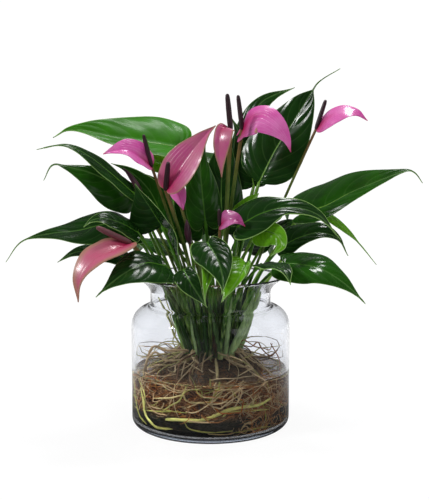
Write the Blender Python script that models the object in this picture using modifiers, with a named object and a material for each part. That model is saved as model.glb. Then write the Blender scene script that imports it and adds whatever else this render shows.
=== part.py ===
"""Flowering anthurium growing in water in a clear glass vase.

Metres, +Z up. The origin is the middle of the vase's flat base, and the front of the plant faces -Y.
Run with: blender --background --python part.py
"""
import math
from collections import namedtuple

import bmesh
import bpy
import numpy as np

MM = 0.001
OBJECT_NAME = "anthurium_in_glass_vase"

# Driving dimensions, in millimetres.
CLEARANCE = 0.3            # between pieces that touch

BODY_RADIUS = 95.0         # vase
BASE_CORNER = 10.0
SHOULDER_START = 120.0
SHOULDER_END = 144.0
NECK_RADIUS = 72.0
NECK_END = 160.0
RIM_RADIUS = 89.5
VASE_HEIGHT = 180.0
GLASS_WALL = 3.0
GLASS_FLOOR = 6.0
VASE_SIDES = 40

WATER_LEVEL = 66.0

CROWN_RADIUS = 38.0        # the short woody stem that every leaf and flower rises from
CROWN_BOTTOM = 78.0
CROWN_TOP = 90.0
ROOT_PLACES = 47           # growing places on the crown
ROOT_SPREAD = 34.0

ROOTS_RADIUS = 82.0        # the tangle of roots, as the space that it fills
ROOTS_SHOULDER = 70.0

BLADE_THICKNESS = 1.0
SPATHE_THICKNESS = 1.2
PETIOLE_RADIUS = 1.8
STALK_RADIUS = 1.9
SPADIX_RADIUS = 3.1

# How a leaf blade's edge runs, from the stalk to the tip. Each row is (where the edge is along the midrib,
# share of the half width there, where the row starts on the midrib), all as shares.
LEAF_OUTLINE = (
    (0.00, 0.00, 0.00), (-0.07, 0.22, 0.008), (-0.10, 0.50, 0.02), (-0.06, 0.78, 0.05), (0.06, 0.96, 0.14),
    (0.20, 1.00, 0.26), (0.38, 0.90, 0.42), (0.56, 0.66, 0.58), (0.73, 0.37, 0.74), (0.87, 0.14, 0.87),
    (1.00, 0.00, 1.00))
SPATHE_OUTLINE = (
    (0.00, 0.00, 0.00), (-0.02, 0.30, 0.01), (0.02, 0.60, 0.05), (0.12, 0.86, 0.14), (0.27, 1.00, 0.28),
    (0.43, 0.95, 0.43), (0.59, 0.74, 0.59), (0.74, 0.46, 0.74), (0.87, 0.20, 0.87), (1.00, 0.00, 1.00))
# A leaf that narrows to its stalk instead of having lobes beside it.
WEDGE_OUTLINE = (
    (0.00, 0.00, 0.00), (0.03, 0.42, 0.01), (0.07, 0.66, 0.04), (0.12, 0.84, 0.09), (0.19, 0.95, 0.16),
    (0.29, 1.00, 0.26), (0.42, 0.95, 0.41), (0.58, 0.80, 0.575), (0.74, 0.58, 0.74), (0.88, 0.33, 0.88),
    (1.00, 0.00, 1.00))
LEAF_STATIONS = (1.1, 2.5, 4.0, 5.4, 6.8, 8.2, 10)
SPATHE_STATIONS = (0.8, 2.0, 3.4, 4.8, 6.2, 7.6, 9)

# A leaf: its growing place on the crown, its midrib from the stalk's end to the tip in millimetres, its
# left and right half widths seen from the stalk with the upper side up, and the way that the upper side
# faces. fold lifts each half like an open book, arch bends it back down, thread is the share of the midrib
# that is a drawn-out tip, and lobe scales the lobes beside the stalk.
Leaf = namedtuple("Leaf", "root midrib halves face fold arch thread lobe outline",
                  defaults=((12, 12), (35, 35), 0.0, 1.0, LEAF_OUTLINE))
LEAVES = (
    # Left side of the plant.
    Leaf(6, [(-37, 26, 332), (-73, 18, 338), (-111, 10, 343), (-145, 4, 351), (-168, 0, 352),
             (-185, -4, 343)], (28, 46), (0, -0.85, 0.53), fold=(33, 2), arch=(10, 30)),
    Leaf(17, [(-90, -20, 279), (-114, -26, 301), (-140, -32, 322), (-166, -38, 334), (-197, -42, 329)],
         (15, 13), (-0.25, -0.42, 0.87), fold=(4, 4), arch=(8, 8), thread=0.1),
    Leaf(30, [(-95, 10, 276), (-117, 0, 290), (-141, -10, 302), (-166, -17, 309), (-183, -22, 311),
              (-193, -26, 293)], (30, 15), (0, -0.85, 0.5), fold=(2, 2), arch=(25, 15), thread=0.1),
    Leaf(9, [(-55, -3, 241), (-64, -5, 267), (-77, -8, 288), (-96, -12, 305), (-116, -13, 313)],
         (17, 20), (-0.5, -0.75, 0.4)),
    Leaf(22, [(-57, 10, 263), (-63, 9, 279), (-74, 6, 293), (-88, 3, 304)], (13, 13), (0.1, -0.8, 0.5)),
    Leaf(20, [(-56, -27, 241), (-63, -34, 253), (-72, -38, 268), (-81, -40, 282), (-86, -41, 290)],
         (33, 20), (-0.35, -0.85, 0.35), fold=(8, 52), arch=(30, 10), lobe=0.3),
    Leaf(38, [(-92, -14, 237), (-119, -24, 243), (-153, -34, 236), (-185, -44, 233), (-214, -52, 225),
              (-232, -56, 202)], (35, 27), (0, -0.55, 0.83), thread=0.1),
    Leaf(25, [(-83, -47, 235), (-100, -55, 246), (-119, -63, 252), (-132, -67, 250), (-141, -69, 243)],
         (22, 22), (0.1, -0.42, 0.9), lobe=0.3),
    Leaf(43, [(-106, -2, 202), (-131, -10, 209), (-158, -18, 209), (-179, -24, 198)],
         (16, 16), (0, -0.6, 0.8)),
    Leaf(41, [(-51, -72, 200), (-70, -88, 205), (-90, -104, 197), (-106, -116, 186), (-121, -125, 173)],
         (29, 26), (-0.1, -0.62, 0.78), lobe=0.3),
    # Front, over the rim of the vase.
    Leaf(28, [(-29, -82, 196), (-23, -94, 187), (-14, -98, 173), (-3, -99, 157)],
         (12, 15), (-0.1, -0.8, 0.55), lobe=0.4),
    Leaf(23, [(-3, -60, 224), (6, -78, 212), (12, -94, 198), (14, -106, 184), (13, -112, 174)],
         (20, 24), (0.1, -0.85, 0.5)),
    Leaf(36, [(0, -65, 200), (-2, -88, 191), (-5, -105, 178), (-5, -109, 163)],
         (6, 12), (0.4, -0.9, 0.2), fold=(40, 20)),
    Leaf(44, [(40, -74, 203), (34, -88, 193), (25, -98, 180), (12, -104, 164)],
         (6, 25), (-0.1, -0.85, 0.5)),
    Leaf(31, [(57, -68, 201), (68, -90, 202), (80, -107, 198), (86, -118, 185)],
         (26, 14), (0.2, -0.5, 0.85), lobe=0.5),
    # Right side.
    Leaf(39, [(84, -48, 200), (101, -60, 200), (122, -72, 197), (142, -80, 186), (157, -86, 174),
              (171, -90, 160)], (27, 27), (0, -0.7, 0.7), fold=(2, 12)),
    Leaf(34, [(80, -16, 213), (102, -22, 226), (127, -28, 233), (148, -33, 226), (159, -37, 207)],
         (26, 15), (0.1, -0.6, 0.8), thread=0.05, lobe=0.3),
    Leaf(26, [(53, -54, 236), (65, -60, 237), (76, -66, 232), (79, -72, 221), (67, -76, 211)],
         (13, 18), (0.1, -0.93, 0.3)),
    Leaf(18, [(31, -54, 242), (58, -52, 257), (90, -51, 264), (122, -53, 255), (148, -56, 227)],
         (29, 24), (0, -0.65, 0.76), thread=0.05),
    Leaf(13, [(42, -22, 245), (45, -26, 259), (49, -27, 271), (56, -28, 279)], (20, 20), (0, -0.9, 0.4)),
    Leaf(29, [(112, 20, 253), (138, 12, 262), (166, 3, 278), (200, -6, 293), (228, -12, 304),
              (239, -14, 302), (248, -16, 290)], (44, 19), (0, -0.65, 0.75)),
    Leaf(42, [(137, 28, 254), (157, 24, 239), (179, 20, 218), (202, 16, 190)], (9, 9), (0.3, -0.5, 0.8)),
    # Tall leaves in the middle.
    Leaf(8, [(58, 14, 289), (78, 20, 329), (99, 22, 362), (120, 20, 396), (130, 18, 410), (154, 14, 425)],
         (38, 38), (-0.3, -0.93, 0.2), arch=(25, 25), thread=0.24, outline=WEDGE_OUTLINE),
    Leaf(32, [(37, 58, 319), (45, 62, 360), (66, 62, 390), (104, 58, 406)], (16, 24), (-0.4, -0.8, 0.45)),
    Leaf(11, [(14, 24, 237), (13, 30, 280), (16, 34, 323), (24, 32, 363)], (28, 28), (0, -1, 0.1)),
    Leaf(16, [(53, 36, 285), (48, 40, 311), (39, 42, 341), (26, 40, 368)],
         (22, 18), (0.1, -0.95, 0.2), lobe=0.3),
    Leaf(0, [(-6, -4, 244), (-10, -2, 282), (-12, 0, 315), (-5, 0, 344)], (22, 22), (0.1, -0.98, 0.15)),
    Leaf(1, [(-25, 8, 224), (-30, 12, 250), (-39, 14, 274), (-46, 14, 286)], (18, 18), (-0.1, -0.95, 0.3)),
    Leaf(14, [(-56, 46, 309), (-85, 48, 327), (-109, 48, 339), (-129, 48, 349)], (14, 18), (0, -0.8, 0.6)),
    # Back of the plant.
    Leaf(45, [(46, 54, 204), (58, 82, 214), (70, 108, 214), (78, 132, 202), (82, 150, 182)],
         (25, 25), (0.25, 0.4, 0.85)),
    Leaf(40, [(-4, 57, 226), (-2, 86, 242), (-4, 118, 240), (-8, 144, 220), (-10, 160, 194)],
         (27, 27), (0, 0.45, 0.85)),
    Leaf(35, [(-50, 36, 204), (-68, 62, 214), (-84, 90, 214), (-96, 114, 200), (-104, 132, 180)],
         (26, 26), (-0.25, 0.4, 0.85)),
    Leaf(37, [(72, 36, 222), (92, 52, 236), (110, 68, 240), (124, 82, 232), (132, 92, 220)],
         (22, 22), (0.4, 0.3, 0.85)),
    Leaf(19, [(-4, 52, 290), (0, 78, 314), (6, 104, 324), (12, 130, 312), (16, 150, 286)],
         (27, 27), (0.1, 0.55, 0.8)),
    Leaf(27, [(-34, 58, 250), (-48, 80, 268), (-64, 104, 272), (-78, 126, 258), (-88, 142, 234)],
         (24, 24), (-0.25, 0.5, 0.8)),
    Leaf(24, [(64, 40, 245), (78, 62, 261), (90, 84, 266), (98, 104, 254), (102, 118, 234)],
         (24, 24), (0.3, 0.45, 0.8)),
    # Hanging in the middle, behind the front leaves.
    Leaf(21.5, [(40, 0, 228), (36, -3, 236), (32, -12, 226), (30, -18, 209), (30, -21, 196)],
         (15, 15), (0, -0.9, 0.4)),
    Leaf(47.75, [(-46, -15, 219), (-43, -31, 227), (-39, -42, 218), (-35, -51, 203), (-33, -57, 188)],
         (17, 17), (0, -0.9, 0.4)),
)

# A flower: its growing place, the midrib of its spathe (the coloured leaf) from the stalk to the tip, the
# spathe's half widths and facing, as for a leaf, and the end of its spadix (the dark spike). Its fold, arch
# and lobe are a leaf's too.
Flower = namedtuple("Flower", "root midrib halves face spadix fold arch lobe",
                    defaults=((25, 25), (20, 20), 1.0))
FLOWERS = (
    Flower(33, [(-89, -69, 225), (-107, -87, 218), (-127, -97, 208), (-141, -103, 188), (-143, -104, 164)],
           (25, 23), (-0.2, -0.5, 0.85), (-125, -82, 244)),
    Flower(4, [(-67, -34, 309), (-79, -42, 320), (-94, -48, 328), (-109, -52, 327), (-120, -54, 324)],
           (16, 19), (0.1, -0.65, 0.76), (-76, -38, 346)),
    Flower(7, [(-51, -40, 283), (-37, -44, 304), (-21, -44, 326), (-6, -42, 345), (6, -40, 356)],
           (22, 24), (-0.45, -0.85, 0.2), (-47, -54, 315)),
    Flower(5, [(23, -46, 351), (14, -56, 353), (10, -62, 339), (10, -62, 322), (13, -60, 298)],
           (15, 7), (-0.5, -0.75, 0.4), (19, -48, 391)),
    Flower(3, [(37, -14, 352), (46, -26, 365), (60, -34, 369), (76, -41, 358), (87, -44, 342),
               (91, -46, 326)], (14, 26), (-0.1, -0.7, 0.7), (32, -12, 392), fold=(5, 5), lobe=4.0),
    Flower(21, [(124, -4, 353), (137, -12, 366), (152, -18, 373), (168, -22, 372), (181, -24, 362)],
           (15, 17), (0, -0.65, 0.76), (135, -4, 387), fold=(-6, 15)),
    Flower(10, [(11, -50, 243), (19, -61, 250), (29, -66, 251), (39, -68, 244)],
           (12, 11), (-0.1, -0.8, 0.55), (10, -52, 262)),
    Flower(2, [(-41, -24, 284), (-38, -33, 279), (-34, -37, 270), (-31, -37, 260)],
           (12, 10), (0, -0.97, 0.25), (-36, -37, 266), fold=(38, 38), arch=(10, 10)),
)
SPATHE_SEAT = 2.6          # from the stalk's axis to the start of the spathe, before its place is cut

# A rolled-up flower: its growing place and the middle line of the bud, from stalk to point.
Bud = namedtuple("Bud", "root line radius")
BUDS = (
    Bud(12, [(-78, -26, 271), (-84, -30, 286), (-92, -33, 299), (-100, -35, 308)], 3.6),
    Bud(15, [(-24, -38, 222), (-26, -42, 236), (-27, -44, 250)], 4.0),
)


def unit(vector):
    vector = np.asarray(vector, float)
    return vector / np.linalg.norm(vector)


def evenly(line, count):
    """The line again with count points at equal distances."""
    steps = np.linalg.norm(np.diff(line, axis=0), axis=1)
    along = np.concatenate(([0.0], np.cumsum(steps)))
    marks = np.linspace(0.0, along[-1], count)
    return np.stack([np.interp(marks, along, line[:, axis]) for axis in range(3)], axis=1)


def spline(knots, at):
    """Catmull-Rom curve through the knots, read at knot numbers such as 1.5."""
    knots = np.asarray(knots, float)
    padded = np.vstack([2 * knots[0] - knots[1], knots, 2 * knots[-1] - knots[-2]])
    points = []
    for mark in at:
        start = min(int(mark), len(knots) - 2)
        t = mark - start
        a, b, c, d = padded[start:start + 4]
        points.append(0.5 * (2 * b + (c - a) * t + (2 * a - 5 * b + 4 * c - d) * t * t
                             + (3 * b - a - 3 * c + d) * t ** 3))
    return np.array(points)


def smooth_line(knots, count):
    fine = spline(knots, np.linspace(0, len(knots) - 1, 24 * (len(knots) - 1) + 1))
    return evenly(fine, count)


def bezier(p0, p1, p2, p3, count):
    t = np.linspace(0, 1, count)[:, None]
    return (1 - t) ** 3 * p0 + 3 * (1 - t) ** 2 * t * p1 + 3 * (1 - t) * t * t * p2 + t ** 3 * p3


def carried_frames(line, face):
    """Tangent, side and normal at each point of a line, carried along it without turning about it."""
    tangent = np.gradient(line, axis=0)
    tangent /= np.linalg.norm(tangent, axis=1)[:, None]
    normal = np.empty_like(tangent)
    face = np.asarray(face, float)
    normal[0] = unit(face - np.dot(face, tangent[0]) * tangent[0])
    for i in range(1, len(line)):
        axis = np.cross(tangent[i - 1], tangent[i])
        sine = np.linalg.norm(axis)
        turned = normal[i - 1]
        if sine > 1e-9:
            axis /= sine
            angle = math.atan2(sine, np.dot(tangent[i - 1], tangent[i]))
            turned = (turned * math.cos(angle) + np.cross(axis, turned) * math.sin(angle)
                      + axis * np.dot(axis, turned) * (1 - math.cos(angle)))
        normal[i] = unit(turned - np.dot(turned, tangent[i]) * tangent[i])
    return tangent, np.cross(tangent, normal), normal


def blade_grid(midrib, halves, face, fold, arch, outline, stations, columns=2, thread=0.0, lobe=1.0):
    """Rows of points over a leaf blade or a spathe, in millimetres: rows run from edge to edge."""
    line = smooth_line(midrib, 61)
    length = np.linalg.norm(np.diff(line, axis=0), axis=1).sum()
    tangent, side, normal = carried_frames(line, face)
    rows = spline(outline, stations)
    edge_at, width, start = rows[:, 0].copy(), np.clip(rows[:, 1], 0, None), np.clip(rows[:, 2], 0, 1)
    edge_at = np.where(edge_at < 0, edge_at * lobe, edge_at)
    edge_at[:-1] *= 1 - thread
    start[:-1] *= 1 - thread
    narrowest = 0.6
    grid = np.zeros((len(rows), 2 * columns + 1, 3))
    for column in range(-columns, columns + 1):
        share = abs(column) / columns
        hand = 1 if column > 0 else -1
        half = halves[column > 0]
        tilt, bend = math.radians(fold[column > 0]), math.radians(arch[column > 0]) / half
        along = start + (edge_at - start) * share ** 1.15
        out = np.maximum(width * half, narrowest) * share
        run = (math.sin(tilt) - np.sin(tilt - bend * out)) / bend
        rise = (np.cos(tilt - bend * out) - math.cos(tilt)) / bend
        place = np.clip(along, 0, 1) * (len(line) - 1)
        base = np.minimum(place.astype(int), len(line) - 2)
        part = (place - base)[:, None]
        spine = line[base] * (1 - part) + line[base + 1] * part
        spine = spine + tangent[0] * (np.minimum(along, 0) * length)[:, None]
        sideways = side[base] * (1 - part) + side[base + 1] * part
        upward = normal[base] * (1 - part) + normal[base + 1] * part
        grid[:, column + columns] = spine + sideways * (hand * run)[:, None] + upward * rise[:, None]
    return grid


def growing_place(number):
    """Where a stalk leaves the crown: places turn by the golden angle, from the middle outwards."""
    angle = number * math.pi * (3 - math.sqrt(5))
    radius = ROOT_SPREAD * math.sqrt((number + 0.5) / ROOT_PLACES)
    return np.array([radius * math.cos(angle), radius * math.sin(angle), CROWN_TOP])


def stalk_line(number, end, count):
    """A stalk's middle line: up out of the crown, through the vase's neck, and out to where it ends."""
    foot = growing_place(number)
    neck = np.array([foot[0] * 1.5, foot[1] * 1.5, 150.0])
    aim = unit(unit(end - np.array([foot[0] * 1.2, foot[1] * 1.2, 165.0])) + np.array([0, 0, 0.12]))
    lift = CLEARANCE + PETIOLE_RADIUS * math.hypot(*(neck - foot)[:2]) / np.linalg.norm(neck - foot)
    foot = foot + np.array([0, 0, lift])
    return bezier(foot, neck, end - aim * np.linalg.norm(end - foot) * 0.35, end, count)


def colour_material(name, colour, roughness, transmission=0.0):
    material = bpy.data.materials.new(name)
    material.use_nodes = True
    shader = material.node_tree.nodes["Principled BSDF"]
    shader.inputs["Base Color"].default_value = (*colour, 1.0)
    shader.inputs["Roughness"].default_value = roughness
    shader.inputs["Metallic"].default_value = 0.0
    shader.inputs["Transmission Weight"].default_value = transmission
    material.diffuse_color = (*colour, 1.0)
    return material


def mesh_object(name, collection, place, points, faces, material, parent):
    """An object at place (mm) with a mesh of points (mm, in the part's frame) under the parent."""
    mesh = bpy.data.meshes.new(name)
    mesh.from_pydata([tuple((np.asarray(p) - place) * MM) for p in points], [], faces)
    mesh.update()
    thing = bpy.data.objects.new(name, mesh)
    collection.objects.link(thing)
    thing.location = tuple(np.asarray(place) * MM)
    thing.parent = parent
    thing.data.materials.append(material)
    return thing


def shell(thing, thickness):
    """Gives an open surface its thickness, half on each side."""
    solid = thing.modifiers.new("thickness", "SOLIDIFY")
    solid.thickness = thickness * MM
    solid.offset = 0.0
    solid.use_even_offset = False


def grid_faces(rows, columns):
    return [(r * columns + c, r * columns + c + 1, (r + 1) * columns + c + 1, (r + 1) * columns + c)
            for r in range(rows - 1) for c in range(columns - 1)]


def tube(name, collection, place, line, radii, material, parent):
    """A round rod along line (mm) with its own radius at each point, closed at both ends."""
    curve = bpy.data.curves.new(name, "CURVE")
    curve.dimensions = "3D"
    curve.bevel_depth = MM
    curve.bevel_resolution = 1
    curve.use_fill_caps = True
    rod = curve.splines.new("POLY")
    rod.points.add(len(line) - 1)
    for point, at, radius in zip(rod.points, line, radii):
        point.co = (*((at - place) * MM), 1.0)
        point.radius = radius
    thing = bpy.data.objects.new(name, curve)
    collection.objects.link(thing)
    thing.location = tuple(np.asarray(place) * MM)
    thing.parent = parent
    curve.materials.append(material)
    return thing


def as_mesh(thing):
    """The same tube as a mesh object with its caps welded, in the tube's place."""
    bpy.context.view_layer.update()
    evaluated = thing.evaluated_get(bpy.context.evaluated_depsgraph_get())
    mesh = bpy.data.meshes.new_from_object(evaluated)
    work = bmesh.new()
    work.from_mesh(mesh)
    bmesh.ops.remove_doubles(work, verts=work.verts, dist=1e-6)
    work.to_mesh(mesh)
    work.free()
    name, parent, collection = thing.name, thing.parent, thing.users_collection[0]
    place = thing.matrix_world.copy()
    bpy.data.objects.remove(thing)
    solid = bpy.data.objects.new(name, mesh)
    collection.objects.link(solid)
    solid.parent = parent
    solid.matrix_world = place
    return solid


def combine(thing, rod, operation):
    """Joins the rod to the thing, or cuts its place out of the thing."""
    other = as_mesh(rod)
    other.hide_render = True
    other.display_type = "WIRE"
    boolean = thing.modifiers.new(other.name, "BOOLEAN")
    boolean.operation = operation
    boolean.solver = "EXACT"
    boolean.object = other


def make_leaf(index, leaf, parts, guides, parent, leaf_green, stalk_green):
    """One leaf: the blade as a thin shell, joined to its stalk."""
    midrib = np.array(leaf.midrib, float)
    place = growing_place(leaf.root)
    grid = blade_grid(midrib, leaf.halves, leaf.face, leaf.fold, leaf.arch, leaf.outline, LEAF_STATIONS,
                      thread=leaf.thread, lobe=leaf.lobe)
    rows, columns = grid.shape[:2]
    blade = mesh_object(f"leaf_{index:02d}", parts, place, grid.reshape(-1, 3), grid_faces(rows, columns),
                        leaf_green, parent)
    shell(blade, BLADE_THICKNESS)
    into_blade = 5.0
    end = midrib[0] + unit(midrib[1] - midrib[0]) * into_blade
    line = np.vstack([stalk_line(leaf.root, midrib[0], 6), end])
    stalk = tube(f"stalk_of_leaf_{index:02d}", guides, place, line, [PETIOLE_RADIUS] * len(line),
                 stalk_green, parent)
    combine(blade, stalk, "UNION")


def make_flower(index, flower, parts, guides, parent, spathe_pink, spadix_purple):
    """One flower: the spathe around its stalk, and the stalk with the spadix that goes on from it."""
    midrib = np.array(flower.midrib, float)
    place = growing_place(flower.root)
    top = midrib[0].copy()
    midrib[0] = top + unit(midrib[1] - top) * SPATHE_SEAT
    grid = blade_grid(midrib, flower.halves, flower.face, flower.fold, flower.arch, SPATHE_OUTLINE,
                      SPATHE_STATIONS, lobe=flower.lobe)
    rows, columns = grid.shape[:2]
    spathe = mesh_object(f"spathe_{index}", parts, place, grid.reshape(-1, 3), grid_faces(rows, columns),
                         spathe_pink, parent)
    shell(spathe, SPATHE_THICKNESS)
    spadix = np.array(flower.spadix, float)
    stalk = stalk_line(flower.root, top, 7)
    shares = np.array((0.12, 0.3, 0.6, 0.85, 0.96, 1.0))
    swell = np.array((0.8, 1.0, 1.0, 0.9, 0.7, 0.35))
    line = np.vstack([stalk, top + (spadix - top) * shares[:, None]])
    radii = [STALK_RADIUS] * len(stalk) + list(SPADIX_RADIUS * swell)
    tube(f"flower_stalk_{index}", parts, place, line, radii, spadix_purple, parent)
    wider = [radius + CLEARANCE for radius in radii]
    room = tube(f"room_for_stalk_{index}", guides, place, line, wider, spathe_pink, parent)
    combine(spathe, room, "DIFFERENCE")


def make_bud(index, bud, parts, parent, material):
    """A flower still rolled up at the end of its stalk."""
    line = smooth_line(bud.line, 7)
    swell = np.array((0.6, 1.0, 1.1, 1.0, 0.75, 0.45, 0.15))
    stalk = stalk_line(bud.root, line[0], 7)
    radii = [STALK_RADIUS] * (len(stalk) - 1) + list(bud.radius * swell)
    whole = np.vstack([stalk[:-1], line])
    tube(f"flower_bud_{index}", parts, growing_place(bud.root), whole, radii, material, parent)


def arc(centre, radius, start, end, steps):
    """Points (r, z) on an arc, with angles in degrees from the outward direction."""
    angles = np.radians(np.linspace(start, end, steps + 1))
    return [(centre[0] + radius[0] * math.cos(a), centre[1] + radius[1] * math.sin(a)) for a in angles]


def outer_side():
    """The vase's outer side from the rim down to the middle of the base."""
    flare = [(NECK_RADIUS + (RIM_RADIUS - NECK_RADIUS) * share ** 1.7,
              NECK_END + (VASE_HEIGHT - 1.5 - NECK_END) * share) for share in (1.0, 0.7, 0.35, 0.0)]
    shoulder = arc((NECK_RADIUS, SHOULDER_START),
                   (BODY_RADIUS - NECK_RADIUS, SHOULDER_END - SHOULDER_START), 90, 0, 4)
    corner = arc((BODY_RADIUS - BASE_CORNER, BASE_CORNER), (BASE_CORNER, BASE_CORNER), 0, -90, 3)
    return flare + shoulder + corner + [(0.0, 0.0)]


def inner_side():
    """The inside from the middle of the floor up to the rim."""
    corner = BASE_CORNER - 2.0
    inside = BODY_RADIUS - GLASS_WALL
    neck = NECK_RADIUS - GLASS_WALL
    floor = arc((inside - corner, GLASS_FLOOR + corner), (corner, corner), -90, 0, 3)
    shoulder = arc((neck, SHOULDER_START - 1.0),
                   (inside - neck, SHOULDER_END - SHOULDER_START - 2.0), 0, 90, 4)
    flare = [(neck + (RIM_RADIUS - GLASS_WALL - neck) * share ** 1.7,
              NECK_END + (VASE_HEIGHT - 1.0 - NECK_END) * share) for share in (0.0, 0.35, 0.7, 1.0)]
    return [(0.0, GLASS_FLOOR)] + floor + shoulder + flare + [(RIM_RADIUS - 1.5, VASE_HEIGHT)]


def turned(name, collection, profile, closed, material, parent):
    """A turned piece from its profile of (r, z) in millimetres."""
    count = len(profile)
    mesh = bpy.data.meshes.new(name)
    edges = [(i, (i + 1) % count) for i in range(count if closed else count - 1)]
    mesh.from_pydata([(r * MM, 0.0, z * MM) for r, z in profile], edges, [])
    thing = bpy.data.objects.new(name, mesh)
    collection.objects.link(thing)
    thing.parent = parent
    mesh.materials.append(material)
    screw = thing.modifiers.new("turn", "SCREW")
    screw.steps = VASE_SIDES
    screw.render_steps = VASE_SIDES
    screw.use_merge_vertices = True
    screw.merge_threshold = 0.0001
    screw.use_smooth_shade = True
    return thing


def roots_radius(height):
    """How wide the tangle of roots is at a height, in millimetres."""
    heights = (GLASS_FLOOR, 18.0, 34.0, ROOTS_SHOULDER - 18.0, ROOTS_SHOULDER - 5.0, 74.0, CROWN_BOTTOM)
    widths = (56.0, 74.0, ROOTS_RADIUS - 1.0, ROOTS_RADIUS - 4.0, 62.0, 40.0, 30.0)
    return float(np.interp(height, heights, widths))


def make_roots(collection, material, parent):
    """The tangle of roots as one lumpy solid that stands on the floor of the vase."""
    work = bmesh.new()
    bmesh.ops.create_uvsphere(work, u_segments=24, v_segments=12, radius=1.0)
    bottom = GLASS_FLOOR + CLEARANCE
    top = CROWN_BOTTOM - CLEARANCE
    for vertex in work.verts:
        share = 0.5 - math.asin(max(-1.0, min(1.0, vertex.co.z))) / math.pi
        height = top + (bottom - top) * share
        angle = math.atan2(vertex.co.y, vertex.co.x)
        lumps = 0.975 + 0.025 * math.sin(5 * angle + 9 * share) * math.sin(3 * angle - 4 * share)
        radius = 0.0 if min(share, 1 - share) < 1e-4 else roots_radius(height) * lumps
        vertex.co = (radius * math.cos(angle) * MM, radius * math.sin(angle) * MM, height * MM)
    mesh = bpy.data.meshes.new("roots")
    work.to_mesh(mesh)
    work.free()
    thing = bpy.data.objects.new("roots", mesh)
    collection.objects.link(thing)
    thing.parent = parent
    mesh.materials.append(material)


def make_water(collection, material, parent):
    """The water around the roots, up to its level, clear of the glass."""
    inside = BODY_RADIUS - GLASS_WALL - 0.5
    corner = BASE_CORNER - 1.8
    heights = (WATER_LEVEL, 52.0, 34.0, 18.0, GLASS_FLOOR + CLEARANCE)
    inner = [(roots_radius(z) + 1.2, z) for z in heights]
    floor = arc((inside - corner, GLASS_FLOOR + CLEARANCE + corner), (corner, corner), -90, 0, 3)
    profile = inner + floor + [(inside, WATER_LEVEL)]
    return turned("water", collection, profile[::-1], True, material, parent)


def make_crown(collection, material, parent):
    """The crown: a low woody disc with a rounded edge."""
    height = (CROWN_TOP - CROWN_BOTTOM) * MM
    middle = (CROWN_TOP + CROWN_BOTTOM) / 2 * MM
    bpy.ops.mesh.primitive_cylinder_add(vertices=24, radius=CROWN_RADIUS * MM, depth=height,
                                        location=(0, 0, middle))
    crown = bpy.context.object
    crown.name = crown.data.name = "crown"
    for other in crown.users_collection:
        other.objects.unlink(crown)
    collection.objects.link(crown)
    crown.parent = parent
    crown.data.materials.append(material)
    edge = crown.modifiers.new("edge", "BEVEL")
    edge.width = 3.0 * MM
    edge.segments = 2
    edge.limit_method = "ANGLE"


def main():
    for thing in list(bpy.data.objects):
        bpy.data.objects.remove(thing)
    parts = bpy.data.collections.new(OBJECT_NAME)
    guides = bpy.data.collections.new("cutters")
    for collection in (parts, guides):
        bpy.context.scene.collection.children.link(collection)
    stand = bpy.data.objects.new(OBJECT_NAME, None)
    parts.objects.link(stand)

    glass = colour_material("glass", (0.86, 0.90, 0.93), 0.03, transmission=0.95)
    water = colour_material("water", (0.80, 0.85, 0.78), 0.02, transmission=0.95)
    root_brown = colour_material("root_brown", (0.30, 0.20, 0.10), 0.7)
    crown_brown = colour_material("crown_brown", (0.16, 0.14, 0.05), 0.7)
    leaf_green = colour_material("leaf_green", (0.03, 0.12, 0.02), 0.3)
    stalk_green = colour_material("stalk_green", (0.13, 0.19, 0.04), 0.45)
    spathe_pink = colour_material("spathe_pink", (0.72, 0.12, 0.38), 0.3)
    spadix_purple = colour_material("spadix_purple", (0.10, 0.02, 0.05), 0.5)

    turned("vase", parts, (inner_side() + outer_side()), False, glass, stand)
    make_water(parts, water, stand)
    make_roots(parts, root_brown, stand)
    make_crown(parts, crown_brown, stand)
    for index, leaf in enumerate(LEAVES, 1):
        make_leaf(index, leaf, parts, guides, stand, leaf_green, stalk_green)
    for index, flower in enumerate(FLOWERS, 1):
        make_flower(index, flower, parts, guides, stand, spathe_pink, spadix_purple)
    for index, bud in enumerate(BUDS, 1):
        make_bud(index, bud, parts, stand, spadix_purple)


main()
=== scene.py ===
"""Flowering anthurium that grows in water in a clear glass vase. Metres; the layout below is in millimetres."""
import math
from collections import namedtuple

import bpy
import numpy as np
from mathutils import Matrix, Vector
from mathutils.noise import fractal
from bpy.props import FloatProperty, FloatVectorProperty, IntProperty, PointerProperty


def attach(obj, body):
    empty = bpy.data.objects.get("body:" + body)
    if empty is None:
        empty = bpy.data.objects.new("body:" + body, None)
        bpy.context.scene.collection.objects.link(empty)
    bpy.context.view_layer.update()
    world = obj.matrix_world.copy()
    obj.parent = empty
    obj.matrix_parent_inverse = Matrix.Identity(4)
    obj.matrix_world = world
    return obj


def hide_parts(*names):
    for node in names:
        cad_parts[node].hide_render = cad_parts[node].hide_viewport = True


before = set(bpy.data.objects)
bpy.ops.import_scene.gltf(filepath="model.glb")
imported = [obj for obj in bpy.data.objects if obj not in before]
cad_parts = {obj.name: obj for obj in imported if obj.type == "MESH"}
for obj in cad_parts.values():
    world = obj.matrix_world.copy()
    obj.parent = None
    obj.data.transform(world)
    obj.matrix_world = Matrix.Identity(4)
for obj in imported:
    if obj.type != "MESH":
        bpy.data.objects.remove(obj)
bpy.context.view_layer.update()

MM = 0.001
BODY = "root"

bl_info = {
    "name": "Anthurium in glass vase",
    "version": (1, 0, 0),
    "blender": (4, 5, 0),
    "location": "View3D > Sidebar > Anthurium",
    "description": "Builds a flowering anthurium that grows in water in a clear glass vase",
    "category": "Object",
}

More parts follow.
